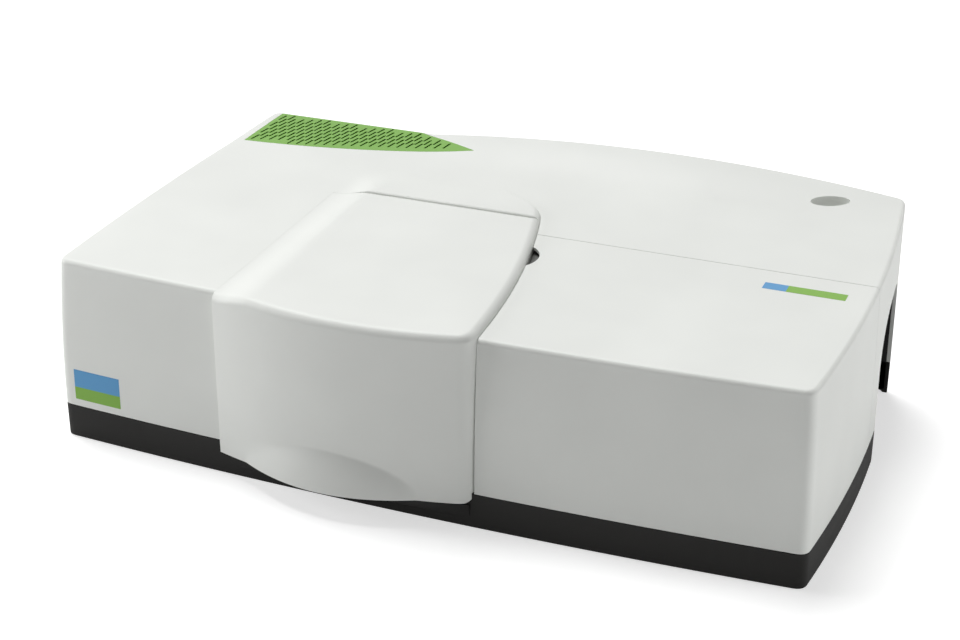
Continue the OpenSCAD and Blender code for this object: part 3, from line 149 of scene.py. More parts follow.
def sidePoint(k, t, inset):
    # Side k of the plan (front, right, rear, left) at fraction t, moved in by inset;
    # a fifth inset moves the rear right corner back out. The bow is a parabola, 4 t (1 - t).
    frontIn, rightIn, rearIn, leftIn = inset[:4]
    out = inset[4] if len(inset) > 4 else 0.0
    bow = 4 * t * (1 - t)
    nearY, farY = frontY + frontIn, rearY - rearIn
    frontLeft, frontRight, rearRight, rearLeft = cornerX
    if k == 0:
        x = frontLeft + leftIn + (frontRight - rightIn - frontLeft - leftIn) * t
        y = nearY - cover["frontBow"] * bow
    elif k == 1:
        x = frontRight - rightIn + (rearRight + out - frontRight) * t + sideBulge(frontRight, rearRight) * bow
        y = nearY + (farY - nearY) * t
    elif k == 2:
        x = rearRight + out - rightIn + (rearLeft + leftIn - rearRight - out + rightIn) * t
        y = farY + cover["rearSet"] * crownAt(x)
    else:
        x = rearLeft + leftIn + (frontLeft - rearLeft) * t - sideBulge(frontLeft, rearLeft) * bow
        y = farY + (nearY - farY) * t
    return np.stack([x, y], -1)


def curve(p, q, s, count):  # quadratic curve from p towards q to s, without its last point
    t = (np.arange(count) / count)[:, None]
    return (1 - t) ** 2 * p + 2 * t * (1 - t) * q + t * t * s


def outline(inset, radius, fine):  # plan outline: four bowed sides joined by quadratic curves at the corners
    sideSteps = [int(s * fine) for s in cover["steps"]]
    cornerSteps = max(3, int(10 * fine))
    sideLong = [2 * cover["halfWidth"], 2 * cover["halfDepth"]] * 2
    runs = []
    for k in range(4):
        n, cut = (k + 1) % 4, radius / sideLong[k]
        runs.append(sidePoint(k, cut + (1 - 2 * cut) * np.arange(sideSteps[k]) / sideSteps[k], inset))
        before, corner = sidePoint(k, np.array([1 - cut]), inset), sidePoint(k, np.array([1.0]), inset)
        after = sidePoint(n, np.array([radius / sideLong[n]]), inset)
        runs.append(curve(before, corner, after, cornerSteps))
    return np.concatenate(runs)


def addObject(name, data):
    obj = bpy.data.objects.new(name, data)
    bpy.context.scene.collection.objects.link(obj)
    return obj


def addMesh(name, points, faces):  # points in the covers' own mm, placed in the frame in metres
    mesh = bpy.data.meshes.new(name)
    mesh.from_pydata(((np.asarray(points) + [0, setBack, 0]) * mm).tolist(), [], faces)
    return addObject(name, mesh)


def cupMesh(name, rings, peak):  # closed skin through equal rings, flat below and drawn to a point above
    rings = np.asarray(rings)
    count, n = rings.shape[:2]
    points = np.concatenate([rings.reshape(-1, 3), [peak]])
    j, i = np.meshgrid(np.arange(count - 1), np.arange(n), indexing="ij")
    nxt = (i + 1) % n
    quads = np.stack([j * n + i, j * n + nxt, (j + 1) * n + nxt, (j + 1) * n + i], -1).reshape(-1, 4)
    last = (count - 1) * n
    fan = [(last + a, last + (a + 1) % n, len(points) - 1) for a in range(n)]
    return addMesh(name, points, quads.tolist() + fan + [tuple(range(n - 1, -1, -1))])


def steps(count, fine, least):  # number of steps of a run at this fineness
    return int(count * fine) + least


def coverForm(name, thick=0.0, z0=None, fine=1.0):
    # Rings: walls lean in with the square of their height, a quarter round follows, then shrinking top rings.
    # The lean fades out towards the rear right corner, which stands straight.
    z0 = cover["seam"] if z0 is None else z0
    edge = max(cover["edge"] - thick, leastEdge)
    sides = np.maximum(np.array(cover["edgeIn"]) - thick, leastEdge)
    lean = np.array(cover["lean"])
    corner = cover["cornerRadius"] - thick
    middle = np.array(cover["middle"])

    def ring(inset, radius, u, drop):
        p = outline(inset, max(radius, 2), fine)
        z = z0 + (topZ(p[:, 0], p[:, 1]) - thick - drop - z0) * u
        return np.column_stack([p, z])

    rings = [ring([*(thick + lean * u * u), lean[1] * u * u], corner, u, edge)
             for u in np.linspace(0, 1, steps(14, fine, 2))]
    for a in np.linspace(0, pi / 2, steps(12, fine, 3))[1:]:
        inset = [*(thick + sides * (1 - cos(a)) + lean), lean[1]]
        rings.append(ring(inset, corner - edge * (1 - cos(a)), 1, edge * (1 - sin(a))))
    rim = rings[-1]
    for f in np.linspace(1, 0, steps(60, fine, 4))[1:-1]:
        q = middle + f * (rim[:, :2] - middle)
        rings.append(np.column_stack([q, topZ(q[:, 0], q[:, 1]) - thick]))
    return cupMesh(name, rings, [*middle, float(topZ(*middle)) - thick])


def coverRoom(name, thick, fine=1.0):  # the inside of the covers, from a little below the seam
    return coverForm(name, thick=thick, z0=cover["seam"] - 1, fine=fine)


def padOutline(d, fine):  # plan of the lid and the raised part, moved in by d on its free sides
    r = max(lid["corner"] - d, leastEdge)
    x1, x0 = lid["right"] - d, lid["left"] - lid["leftPast"]
    a, b = np.array([x1 - r, bowY(x1 - r) + d]), np.array([x1, bowY(x1) + d])
    c = np.array([rightX(bowEnd + r) - d, bowEnd + d + r])
    e = np.array([rightX(lid["curlY"]) - d, lid["curlY"]])
    turn, back = np.array(lid["curlTurn"]) - d, np.array(lid["curlEnd"]) - d
    xs = np.linspace(x0, a[0], steps(90, fine, 4))[:-1]
    ys = np.linspace(c[1], e[1], steps(70, fine, 4))[:-1]
    front = np.column_stack([xs, bowY(xs) + d])
    right = np.column_stack([rightX(ys) - d, ys])
    rear = np.linspace(back, (x0, lid["farY"] - d), 20)
    corner, curl = curve(a, b, c, steps(16, fine, 3)), curve(e, turn, back, steps(40, fine, 4))
    return np.concatenate([front, corner, right, curl, rear])


def lipAt(x, y, up):
    # Finger lip: 1 minus the squared distance inside a half ellipse, eased near its rim, more so at the left
    across = (x - lid["lipX"]) / lid["lipHalf"]
    rise = up / lid["lipHeight"]
    inside = 1 - across ** 2 - rise ** 2
    least, more = lid["lipEase"]
    ease = least + more * smoothStep(-across) * smoothStep(rise * 1.6)
    return np.where(y > 0, 0, lid["lipOut"] * (inside + np.sqrt(inside ** 2 + ease ** 2)) / 2)


def padForm(name, thick=0.0, z0=None, sink=0.0, fine=1.0, drop=0.0):
    # With no z0 it is the lid: walls from the rising lower edge, with the finger lip in them
    edge = max(lid["edge"] - thick, leastEdge)
    wide = lid["right"] - lid["left"]
    lipReach = lid["lipHeight"] * 1.3  # the walls' fine rings go a little past the lip
    middle = np.array(lid["middle"])

    def ring(d, u, below):
        p = padOutline(d, fine)
        foot = cover["seam"] if z0 is None else z0
        return np.column_stack([p, foot + (padZ(p[:, 0], p[:, 1]) - thick - below - sink - foot) * u])

    def lipRing(up):  # the lower edge rises to the right and turns up in a quarter round at its right end
        x, y = padOutline(thick, fine).T
        z = lid["bottom"] + lid["rise"] * (x - lid["left"]) / wide + up - drop * (up == 0)
        turn = np.clip((x - lid["right"]) / lid["foot"] + 1, 0, 1)
        z = z + lid["foot"] * (1 - np.sqrt(1 - turn ** 2)) * (y < frontY)
        return np.column_stack([x, y - lipAt(x, y, up), z])

    if z0 is None:
        rings = [lipRing(u * lipReach) for u in np.linspace(0, 1, steps(36, fine, 8))]
    else:
        rings = [ring(thick, u, edge) for u in (0, 0.5)]
    for a in np.linspace(0, pi / 2, steps(12, fine, 3)):
        rings.append(ring(thick + edge * (1 - cos(a)), 1, edge * (1 - sin(a))))
    rim = rings[-1]
    for f in np.linspace(1, 0, steps(50, fine, 4))[1:-1]:
        q = middle + f * (rim[:, :2] - middle)
        rings.append(np.column_stack([q, padZ(q[:, 0], q[:, 1]) - thick - sink]))
    return cupMesh(name, rings, [*middle, float(padZ(*middle)) - thick - sink])


def prism(name, points, low, high, axis="z"):  # plan polygon drawn up along an axis; x: points are (y, z)
    p = np.asarray(points, float)
    n = len(p)
    if axis == "z":
        verts = [(a, b, low) for a, b in p] + [(a, b, high) for a, b in p]
    else:
        verts = [(low, a, b) for a, b in p] + [(high, a, b) for a, b in p]
    faces = [tuple(range(n - 1, -1, -1)), tuple(range(n, 2 * n))]
    faces += [(i, (i + 1) % n, (i + 1) % n + n, i + n) for i in range(n)]
    obj = addMesh(name, verts, faces)
    work = bmesh.new()
    work.from_mesh(obj.data)
    bmesh.ops.recalc_face_normals(work, faces=work.faces)
    work.to_mesh(obj.data)
    work.free()
    return obj


def box(name, x, y, low, high):  # upright box between two values of x and two of y
    return prism(name, [(x[0], y[0]), (x[1], y[0]), (x[1], y[1]), (x[0], y[1])], low, high)


def roundBar(name, centre, radius, low, high, axis="x", steps=96):  # a cylinder as a prism over a circle
    a = np.linspace(0, 2 * pi, steps, endpoint=False)
    ring = np.column_stack([centre[0] + radius * np.cos(a), centre[1] + radius * np.sin(a)])
    return prism(name, ring, low, high, axis)


def ball(name, centre, half, turn=0.0):  # ellipsoid with three half sizes, turned about the vertical
    mesh = bpy.data.meshes.new(name)
    work = bmesh.new()
    middle = Vector(centre) + Vector((0, setBack, 0))
    spin = Matrix.Rotation(radians(turn), 3, "Z").to_quaternion()
    place = Matrix.LocRotScale(middle * mm, spin, Vector(half) * mm)
    bmesh.ops.create_uvsphere(work, u_segments=128, v_segments=64, radius=1.0, matrix=place)
    work.to_mesh(mesh)
    work.free()
    return addObject(name, mesh)


def combine(target, tool, how):  # boolean with the tool used up
    step = target.modifiers.new("cut", "BOOLEAN")
    step.operation, step.object, step.solver = how, tool, "MANIFOLD"
    depsgraph = bpy.context.evaluated_depsgraph_get()
    done = bpy.data.meshes.new_from_object(target.evaluated_get(depsgraph))
    target.modifiers.clear()
    old = target.data
    target.data = done
    bpy.data.meshes.remove(old)
    bpy.data.objects.remove(tool)
    return target


def softShade(obj, angle=28):
    mesh = obj.data
    mesh.shade_smooth()
    mesh.set_sharp_from_angle(angle=radians(angle))
    return obj


far = 900.0  # beyond everything, for cutting bodies
# Detector cover: where it ends at the rear, and the round notch beside the lid (x, y, radius), in mm
detector = {
    "panelY": 24.0, "notch": (43.0, -46.0, 37.0), "notchDeep": 7.5, "notchReach": 20.0, "notchThick": 3.0,
}


def lidPlan(grow, leftGap):  # room of the lid in plan: left end, curved right edge, back
    edge = [(float(rightX(y)) + grow, y) for y in np.linspace(bowEnd, lidBack, 60)]
    left = lid["left"] - leftGap
    return [(left, -far), (lid["right"] + grow, -far), *edge, (left, lidBack)]


def rightPlan(grow):  # room of the detector cover in plan: right of the lid's edge, up to its own rear line
    back = detector["panelY"] + grow
    edge = [(float(rightX(y)) - grow, y) for y in np.linspace(back, bowEnd, 60)]
    return [(far, -far), (far, back), *edge, (lid["right"] - grow, -far)]


# Vent grille, in mm: its edges, a front edge that is a parabola, and slots on a skewed grid
grille = {
    "leftIn": 20.0, "overLeft": 7.0, "rearIn": 3.0, "rightFront": -134.0, "rightRear": -236.0,
    "frontY": 185.0, "frontSlope": 0.062, "frontCurve": 0.00042,
    "low": 150.0, "high": 400.0, "gap": 0.3, "thick": 3.0,
    # first slot, steps across and along, run of a slot, its width, and how clear it stays of the edges
    "first": (-438.0, 207.0), "across": (13.3, 3.2), "along": (-5.8, 11.3), "columns": (-12, 40),
    "rows": (-12, 16), "slant": (3.6, 14.5), "wide": 3.5, "slotSteps": 12,
    "clearSide": 4.0, "clearRear": 2.5, "clearFront": 3.0,
}


def grillePlan(grow=0.0):
    side = cover["cornerIn"][3] - cover["halfWidth"] + grille["leftIn"]
    back = rearY - grille["rearIn"] + grow
    x = np.linspace(side - grille["overLeft"], grille["rightFront"], 11)
    y = grille["frontY"] + grille["frontSlope"] * (x - side) + grille["frontCurve"] * (x - side) ** 2
    x[0] -= grow
    return [*zip(x, y - grow), (grille["rightRear"], back), (side - grow, back)]


def within(points, polygon):  # which points lie inside a polygon, by counting edge crossings
    a, b = np.asarray(polygon), np.roll(polygon, -1, axis=0)
    x, y = points[:, :1], points[:, 1:]
    crosses = (a[:, 1] > y) != (b[:, 1] > y)
    at = a[:, 0] + (y - a[:, 1]) * (b[:, 0] - a[:, 0]) / (b[:, 1] - a[:, 1] + 1e-9)
    return (crosses & (x < at)).sum(1) % 2 == 1


def slotCentres():  # the grid's points whose slots keep clear of the grille's rim
    i, j = (k.ravel() for k in np.meshgrid(np.arange(*grille["columns"]), np.arange(*grille["rows"])))
    centres = np.array(grille["first"]) + np.outer(i, grille["across"]) + np.outer(j, grille["along"])
    slant, side = np.array(grille["slant"]) / 2, grille["clearSide"]
    rear, front = grille["clearRear"], grille["clearFront"]
    clear = (slant + [side, rear], slant + [-side, rear], -slant + [side, -front], -slant + [-side, -front])
    return centres[np.all([within(centres + c, grillePlan()) for c in clear], axis=0)]


def makeGrille():
    # Green plate flush with the top, with slanted round-ended slots cut through it in one go
    plan = prism("plan", grillePlan(), grille["low"], far)
    plate = combine(coverForm("vent_grille_skin"), plan, "INTERSECT")
    combine(plate, coverRoom("under", grille["thick"], 0.4), "DIFFERENCE")
    half, n = grille["wide"] / 2, grille["slotSteps"]
    a = np.linspace(0, 2 * pi, n, endpoint=False)
    upper = np.where(np.sin(a) >= 0, 1, -1)[:, None]
    rim = np.column_stack([half * np.cos(a), half * np.sin(a)]) + upper * np.array(grille["slant"]) / 2
    ends = (slotCentres()[:, None] + rim).reshape(-1, 2)
    count = len(ends)
    points = [np.column_stack([ends, np.full(count, z)]) for z in (grille["low"], grille["high"])]
    faces = []
    for k in range(0, count, n):
        faces += [tuple(range(k + n - 1, k - 1, -1)), tuple(range(k + count, k + n + count))]
        faces += [(k + m, k + (m + 1) % n, k + (m + 1) % n + count, k + m + count) for m in range(n)]
    return softShade(combine(plate, addMesh("slots", np.concatenate(points), faces), "DIFFERENCE"))


# Blank two-colour plates, in mm: one on the top at the right (x, x, y, y, where the colours meet),
# one on the front at the left (x, x, z, z, where the colours meet)
plates = {
    "proud": 0.25, "deep": 0.6, "low": 200.0,
    "top": (369.0, 473.0, -27.0, -10.0, 399.0), "front": (-488.0, -416.0, 58.0, 101.0, 76.0),
}


def makePlate(name, plan, low, high, axis):  # blank plate that follows the cover, a little proud of it
    plate = coverForm(name, thick=-plates["proud"])
    combine(plate, prism("plan", plan, low, high, axis), "INTERSECT")
    combine(plate, coverRoom("under", plates["deep"]), "DIFFERENCE")
    return softShade(plate)


# Hand-holds at the rear of both side walls, in mm: an arch through the cover and the tray, with a black liner
hold = {
    "front": 75.0, "rear": 284.0, "spring": 112.0, "top": 196.0, "inner": 464.0, "squareness": 2.4,
    "low": -5.0, "liner": 2.5, "linerOut": 499.0, "clearOut": 520.0, "clearInner": 0.6,
    # behind the arch the liner leaves room for the cover's rear corner, right and left
    "rearFrom": 180.0, "rearTo": 300.0, "rearRight": 476.5, "rearLeft": 478.5,
    # the cut through the wall, and the post that closes the wall behind it
    "cutIn": 60.0, "cutOut": 10.0,
    "post": 10.0, "postLong": 9.0, "postIn": 1.5, "postShort": 20.0, "postGap": 0.02,
}
# Black tray, in mm: its outer rings as (height, how far in), its hollow, its sills at the hand-holds, and the
# fairing under the lid
tray = {
    "rings": ((0.4, 1.4), (1.2, 0.6), (4.0, 0.4), (26.0, 0.2), (45.9, 0.0), (46.9, 0.5)), "top": 46.9,
    "under": 4.0, "underIn": 6.5, "floor": 8.0, "wall": 7.0, "corner": 10.0, "over": 100.0,
    "sill": 3.4, "sillLow": 4.5, "sillTop": 46.7, "sillIn": 1.2, "sillCorner": 12.0, "out": 540.0,
    "clearOut": 600.0, "fairIn": 6.0, "fairLow": 12.0, "fairTop": 33.0,
    "fairStart": 1.0, "fairRoom": 1.5, "fairOut": 0.2, "fairDeep": 2.0,
}


def holdArch(grow=0.0):
    # Arch seen from the side, (y, z): straight jambs, then a squarish ellipse,
    # where the n-th powers of both shares add up to 1, with n the squareness
    mid, half = (hold["front"] + hold["rear"]) / 2, (hold["rear"] - hold["front"]) / 2 + grow
    high = hold["top"] - hold["spring"] + grow
    a = np.linspace(0, pi, 60)
    power = 2 / hold["squareness"]
    y = mid + half * np.sign(np.cos(a)) * np.abs(np.cos(a)) ** power
    z = hold["spring"] + high * np.abs(np.sin(a)) ** power
    return list(zip(y, z)) + [(mid - half, hold["low"]), (mid + half, hold["low"])]


def makeLiner():
    # Black liner of both hand-holds: the arch with a closed back, open outwards and downwards
    both = None
    for side, rearX in ((1, hold["rearRight"]), (-1, hold["rearLeft"])):
        outer = sorted((side * (hold["inner"] - hold["liner"]), side * hold["linerOut"]))
        inner = sorted((side * hold["inner"], side * hold["clearOut"]))
        block = prism("liner" + str(side), holdArch(hold["liner"]), *outer, "x")
        combine(block, prism("room", holdArch(), *inner, "x"), "DIFFERENCE")
        rearRoom = (side * rearX, side * hold["clearOut"]), (hold["rearFrom"], hold["rearTo"])
        combine(block, box("rearRoom", *rearRoom, -10, hold["rearTo"]), "DIFFERENCE")
        combine(block, box("floorCut", (-far, far), (-far, far), -10, tray["under"] + 1), "DIFFERENCE")
        inside = coverForm("inside", thick=cover["wall"] + hold["clearInner"], z0=-8, fine=0.3)
        combine(block, inside, "INTERSECT")
        both = combine(both, block, "UNION") if both else block
    both.name = "hand_hold_liners"
    return softShade(both)


def makeFairing():
    # Fairing under the lid: plan rings between the tray's front and the lid's bow, further out as they rise
    x = np.linspace(lid["left"] + tray["fairIn"], lid["right"] - tray["fairIn"], 60)
    front = outline(np.zeros(4), cover["cornerRadius"], 1.0)[:cover["steps"][0]]
    start = np.interp(x, front[:, 0], front[:, 1]) + tray["fairStart"]
    reach = np.maximum(0, start - bowY(x) - cover["wall"] - tray["fairRoom"])
    rings = []
    for t in np.linspace(0, 1, 8):
        z = np.full(len(x), tray["fairLow"] + (tray["fairTop"] - tray["fairLow"]) * t)
        face = np.column_stack([x, start - reach * t - tray["fairOut"], z])
        back = np.column_stack([x[::-1], start[::-1] + tray["fairDeep"], z])
        rings.append(np.concatenate([face, back]))
    return cupMesh("fairing", rings, [0, frontY, tray["fairTop"]])


def makeTray():
    # Black tray: stepped plan rings with a rounded lower edge, hollow, notched at both hand-holds
    rings = []
    for z, inset in tray["rings"]:
        p = outline(np.full(4, inset), cover["cornerRadius"] - inset, 1.0)
        rings.append(np.column_stack([p, np.full(len(p), z)]))
    skin = cupMesh("base_tray_skin", rings, [0, 0, tray["top"]])
    room = outline(np.full(4, tray["wall"]), tray["corner"], 0.5)
    combine(skin, prism("room", room, tray["floor"], tray["over"]), "DIFFERENCE")
    under = outline(np.full(4, tray["underIn"]), tray["corner"], 0.5)
    combine(skin, prism("footRoom", under, hold["low"], tray["under"]), "DIFFERENCE")
    rim = outline(np.full(4, tray["sillIn"]), tray["sillCorner"], 0.5)
    for side in (1, -1):
        wallX = sorted((side * (hold["inner"] - tray["sill"]), side * tray["out"]))
        wallY = hold["front"] - tray["sill"], hold["rear"] + tray["sill"]
        sill = box("sill", wallX, wallY, tray["sillLow"], tray["sillTop"])
        combine(sill, prism("rim", rim, 0, tray["over"]), "INTERSECT")
        combine(skin, sill, "UNION")
        notchX = sorted((side * hold["inner"], side * tray["clearOut"]))
        notch = box("notch", notchX, (hold["front"], hold["rear"]), hold["low"], tray["over"])
        combine(skin, notch, "DIFFERENCE")
    combine(skin, makeFairing(), "UNION")
    return softShade(skin)


# Rear of the main cover, in mm: finger recess (x, y), its half sizes and turn, and the port (x, x, z, z);
# edgeRound is the rounded edge along the back of the lid
rear = {
    "recess": (387.0, 251.0), "recessHalf": (26.6, 13.2, 19.0), "recessTurn": 20.0, "recessSink": 1.5,
    "port": (300.0, 424.0, 58.0, 140.0), "portFrom": 20.0, "portTo": 40.0,
    "edgeRound": 1.6, "edgeLift": 0.3, "edgeOver": 4.0, "padSink": 0.05,
}


def makeMainCover():
    shell = coverForm("main_cover_skin")
    pad = padForm("pad", z0=cover["seam"], sink=rear["padSink"])
    combine(pad, box("behind", (-far, far), (lidBack, far), 0, far), "INTERSECT")
    combine(shell, pad, "UNION")
    # hollow, with a cup left standing under the finger recess
    inner = coverRoom("inner", cover["wall"], 0.3)
    x, y = rear["recess"]
    at = (x, y, float(topZ(x, y)) - rear["recessSink"])
    cupHalf = [h + cover["wall"] for h in rear["recessHalf"]]
    combine(inner, ball("cup", at, cupHalf, rear["recessTurn"]), "DIFFERENCE")
    combine(shell, inner, "DIFFERENCE")
    combine(shell, prism("lidRoom", lidPlan(cover["gap"] / 2, lid["leftGap"]), -1, far), "DIFFERENCE")
    combine(shell, prism("hoodRoom", rightPlan(cover["gap"] / 2), -1, far), "DIFFERENCE")
    combine(shell, ball("bowl", at, rear["recessHalf"], rear["recessTurn"]), "DIFFERENCE")
    combine(shell, prism("grilleRoom", grillePlan(grille["gap"]), 200, far), "DIFFERENCE")
    # right and left: the wall's number in the plan, and a place on it near its rear end
    for side, wall, t in ((1, 1, 0.98), (-1, 3, 0.02)):
        ends = sorted(side * (cover["halfWidth"] + d) for d in (-hold["cutIn"], hold["cutOut"]))
        combine(shell, prism("hand", holdArch(), *ends, "x"), "DIFFERENCE")
        # post that closes the wall's rear end behind the arch
        outer = abs(float(sidePoint(wall, np.array([t]), np.zeros(4))[0, 0]))
        postX = sorted((side * (outer - hold["post"]), side * (outer - hold["postIn"])))
        postY = hold["rear"] + hold["postGap"], hold["rear"] + hold["postLong"]
        combine(shell, box("post", postX, postY, cover["seam"], hold["top"] - hold["postShort"]), "UNION")
    left, right, low, high = rear["port"]
    portY = rearY - rear["portFrom"], rearY + rear["portTo"]
    combine(shell, box("port", (left, right), portY, low, high), "DIFFERENCE")
    # rounded edge along the back of the lid
    r = rear["edgeRound"]
    edgeTop = hingeZ + lid["roll"] - r + rear["edgeLift"]
    over = edgeTop + r + rear["edgeOver"]
    lip = [(lidBack - 1, edgeTop), (lidBack - 1, over), (lidBack + r, over)]
    lip += [(lidBack + r + r * cos(t), edgeTop + r * sin(t)) for t in np.linspace(pi / 2, pi, 16)]
    combine(shell, prism("lip", lip, lid["left"] - 1, float(rightX(lidBack)) + 1, "x"), "DIFFERENCE")
    return softShade(shell)


# the pad's grey is painted light, standing in for the dim light inside the shaded notch
def makeNotchFloor():  # dark floor a little below the notch, inside the detector cover
    x, y, r = detector["notch"]
    top = float(planeZ(y)) - detector["notchDeep"]
    disc = roundBar("notch_floor", (x, y), r + detector["notchReach"], top - detector["notchThick"], top, "z")
    return softShade(combine(disc, prism("zone", rightPlan(-cover["gap"] / 2), 0, far), "INTERSECT"))


def makeLid():
    skin = padForm("sample_lid_skin")
    x0 = lid["left"] + lid["leftIn"]
    hingeY, r = lid["hingeY"], lid["roll"]
    # seen from the side the lid ends in a roll about its hinge, so that it can turn beside the raised part
    wide = r + cover["gap"] / 2
    reach = sqrt(wide * wide - r * r)
    turns = np.linspace(-pi / 2, pi / 2, 32)[1:-1]
    roll = [(hingeY + wide * cos(t), hingeZ + min(wide * sin(t), r)) for t in turns]
    side = [(-far, 0), (hingeY - r, 0), (hingeY - r, hingeZ - r), (hingeY, hingeZ - r), *roll,
            (hingeY + reach, far), (-far, far)]
    combine(skin, prism("zone", side, x0, far, "x"), "INTERSECT")
    # hollow in front of the roll, and open below
    inner = padForm("inner", thick=cover["wall"], fine=0.4, drop=1.0)
    zone = [(-far, 0), (hingeY - r, 0), (hingeY - r, far), (-far, far)]
    combine(inner, prism("innerZone", zone, x0 + cover["wall"], far, "x"), "INTERSECT")
    combine(skin, inner, "DIFFERENCE")
    near, back = frontY + lid["underIn"], hingeY - r + lid["underRear"]
    nearTop, backTop = planeZ(frontY) - lid["skirt"], planeZ(hingeY) - lid["skirt"]
    low = [(near, -1), (back, -1), (back, backTop), (near, nearTop)]
    combine(skin, prism("under", low, -far, far, "x"), "DIFFERENCE")
    base = outline(np.full(4, -lid["seamOut"]), cover["cornerRadius"], 0.4)
    combine(skin, prism("baseRoom", base, -1, cover["seam"] + 1), "DIFFERENCE")
    return softShade(skin)


def makeDetectorCover():
    skin = coverForm("detector_cover_skin")
    combine(skin, prism("zone", rightPlan(-cover["gap"] / 2), -1, far), "INTERSECT")
    combine(skin, prism("lidRoom", lidPlan(cover["gap"] / 2, lid["leftOver"]), -1, far), "DIFFERENCE")
    combine(skin, coverRoom("inner", cover["wall"], 0.3), "DIFFERENCE")
    x, y, r = detector["notch"]
    combine(skin, roundBar("notch", (x, y), r, cover["seam"], far, "z"), "DIFFERENCE")
    return softShade(skin)


def linear(hexText):  # sRGB hex text to linear colour
    values = [int(hexText[i:i + 2], 16) / 255 for i in (1, 3, 5)]
    return tuple(v / 12.92 if v <= 0.04045 else ((v + 0.055) / 1.055) ** 2.4 for v in values) + (1.0,)


# One node with its settings; a link is named by its input, or by an underscore and the input's number
def addNode(tree, kind, settings=None, **links):
    node = tree.nodes.new(kind)
    for key, value in (settings or {}).items():
        if isinstance(key, int) or key in node.inputs:
            node.inputs[key].default_value = value
        else:
            setattr(node, key, value)
    for key, source in links.items():
        tree.links.new(source, node.inputs[int(key[1:])] if key[0] == "_" else node.inputs[key])
    return node


def startMaterial(name):
    mat = bpy.data.materials.new(name)
    mat.use_nodes = True
    tree = mat.node_tree
    tree.nodes.clear()
    out = tree.nodes.new("ShaderNodeOutputMaterial")
    shader = tree.nodes.new("ShaderNodeBsdfPrincipled")
    tree.links.new(shader.outputs[0], out.inputs[0])
    return mat, tree, shader


def toneRamp(tree, shader, source, hexText, low, high, darker, lighter):  # two shades of one tone
    ramp = addNode(tree, "ShaderNodeValToRGB", None, Fac=source)
    base = linear(hexText)[:3]
    for stop, place, factor in zip(ramp.color_ramp.elements, (low, high), (darker, lighter)):
        stop.position = place
        stop.color = tuple(min(1, v * factor) for v in base) + (1,)
    tree.links.new(ramp.outputs["Color"], shader.inputs["Base Color"])


def roughBump(tree, shader, source, rough, spread, bump, distance):  # gloss and relief from one noise
    ends = {"To Min": rough - spread, "To Max": rough + spread}
    gloss = addNode(tree, "ShaderNodeMapRange", ends, Value=source)
    tree.links.new(gloss.outputs[0], shader.inputs["Roughness"])
    relief = addNode(tree, "ShaderNodeBump", {"Strength": bump, "Distance": distance}, Height=source)
    tree.links.new(relief.outputs["Normal"], shader.inputs["Normal"])


def mouldedPlastic(name, hexText, rough, grainMm, bump, ior=1.5, vary=0.03):
    # Moulding from a textured tool: a fine pebble that breaks up the gloss, with very slow changes of tone
    mat, tree, shader = startMaterial(name)
    shader.inputs["IOR"].default_value = ior
    place = addNode(tree, "ShaderNodeTexCoord").outputs["Object"]
    pebble = {"Scale": 1000 / grainMm, "Detail": 3.0, "Roughness": 0.6}
    grain = addNode(tree, "ShaderNodeTexNoise", pebble, Vector=place).outputs["Fac"]
    slow = addNode(tree, "ShaderNodeTexNoise", {"Scale": 6.0, "Detail": 2.0}, Vector=place).outputs["Fac"]
    toneRamp(tree, shader, slow, hexText, low=0.3, high=0.7, darker=1 - vary, lighter=1 + vary)
    roughBump(tree, shader, grain, rough, spread=0.05, bump=bump, distance=0.0002)
    return mat


def wornMetal(name, hexText, rough, streakMm, bump, metallic=1.0):
    # Metal or coated metal: gloss in streaks along one axis, as milling, brushing or rolling leaves it
    mat, tree, shader = startMaterial(name)
    shader.inputs["Metallic"].default_value = metallic
    place = addNode(tree, "ShaderNodeTexCoord").outputs["Object"]
    scale = {"Scale": tuple(1000 / v for v in streakMm)}
    stretch = addNode(tree, "ShaderNodeMapping", scale, Vector=place).outputs[0]
    fibre = {"Scale": 1.0, "Detail": 4.0, "Roughness": 0.65}
    streak = addNode(tree, "ShaderNodeTexNoise", fibre, Vector=stretch).outputs["Fac"]
    toneRamp(tree, shader, streak, hexText, low=0.35, high=0.65, darker=0.9, lighter=1.08)
    roughBump(tree, shader, streak, rough, spread=0.08, bump=bump, distance=0.0001)
    return mat


def twoColourPlate(name, axis, split, lowHex, highHex):
    # Printed foil: a satin face in two flat inks that meet in a sharp line, slightly mottled
    mat, tree, shader = startMaterial(name)
    shader.inputs["Roughness"].default_value = 0.35
    place = addNode(tree, "ShaderNodeTexCoord").outputs["Object"]
    parts = addNode(tree, "ShaderNodeSeparateXYZ", None, Vector=place)
    beyond = {"operation": "GREATER_THAN", 1: split * mm}
    side = addNode(tree, "ShaderNodeMath", beyond, _0=parts.outputs[axis])
    mottle = addNode(tree, "ShaderNodeTexNoise", {"Scale": 300.0, "Detail": 2.0}, Vector=place)
    ink = addNode(tree, "ShaderNodeMix", {"data_type": "RGBA"}, _0=side.outputs[0])
    ink.inputs[6].default_value, ink.inputs[7].default_value = linear(lowHex), linear(highHex)
    faint = {"Strength": 0.05, "Distance": 0.0001}
    soft = addNode(tree, "ShaderNodeBump", faint, Height=mottle.outputs["Fac"])
    tree.links.new(ink.outputs[2], shader.inputs["Base Color"])
    tree.links.new(soft.outputs["Normal"], shader.inputs["Normal"])
    return mat


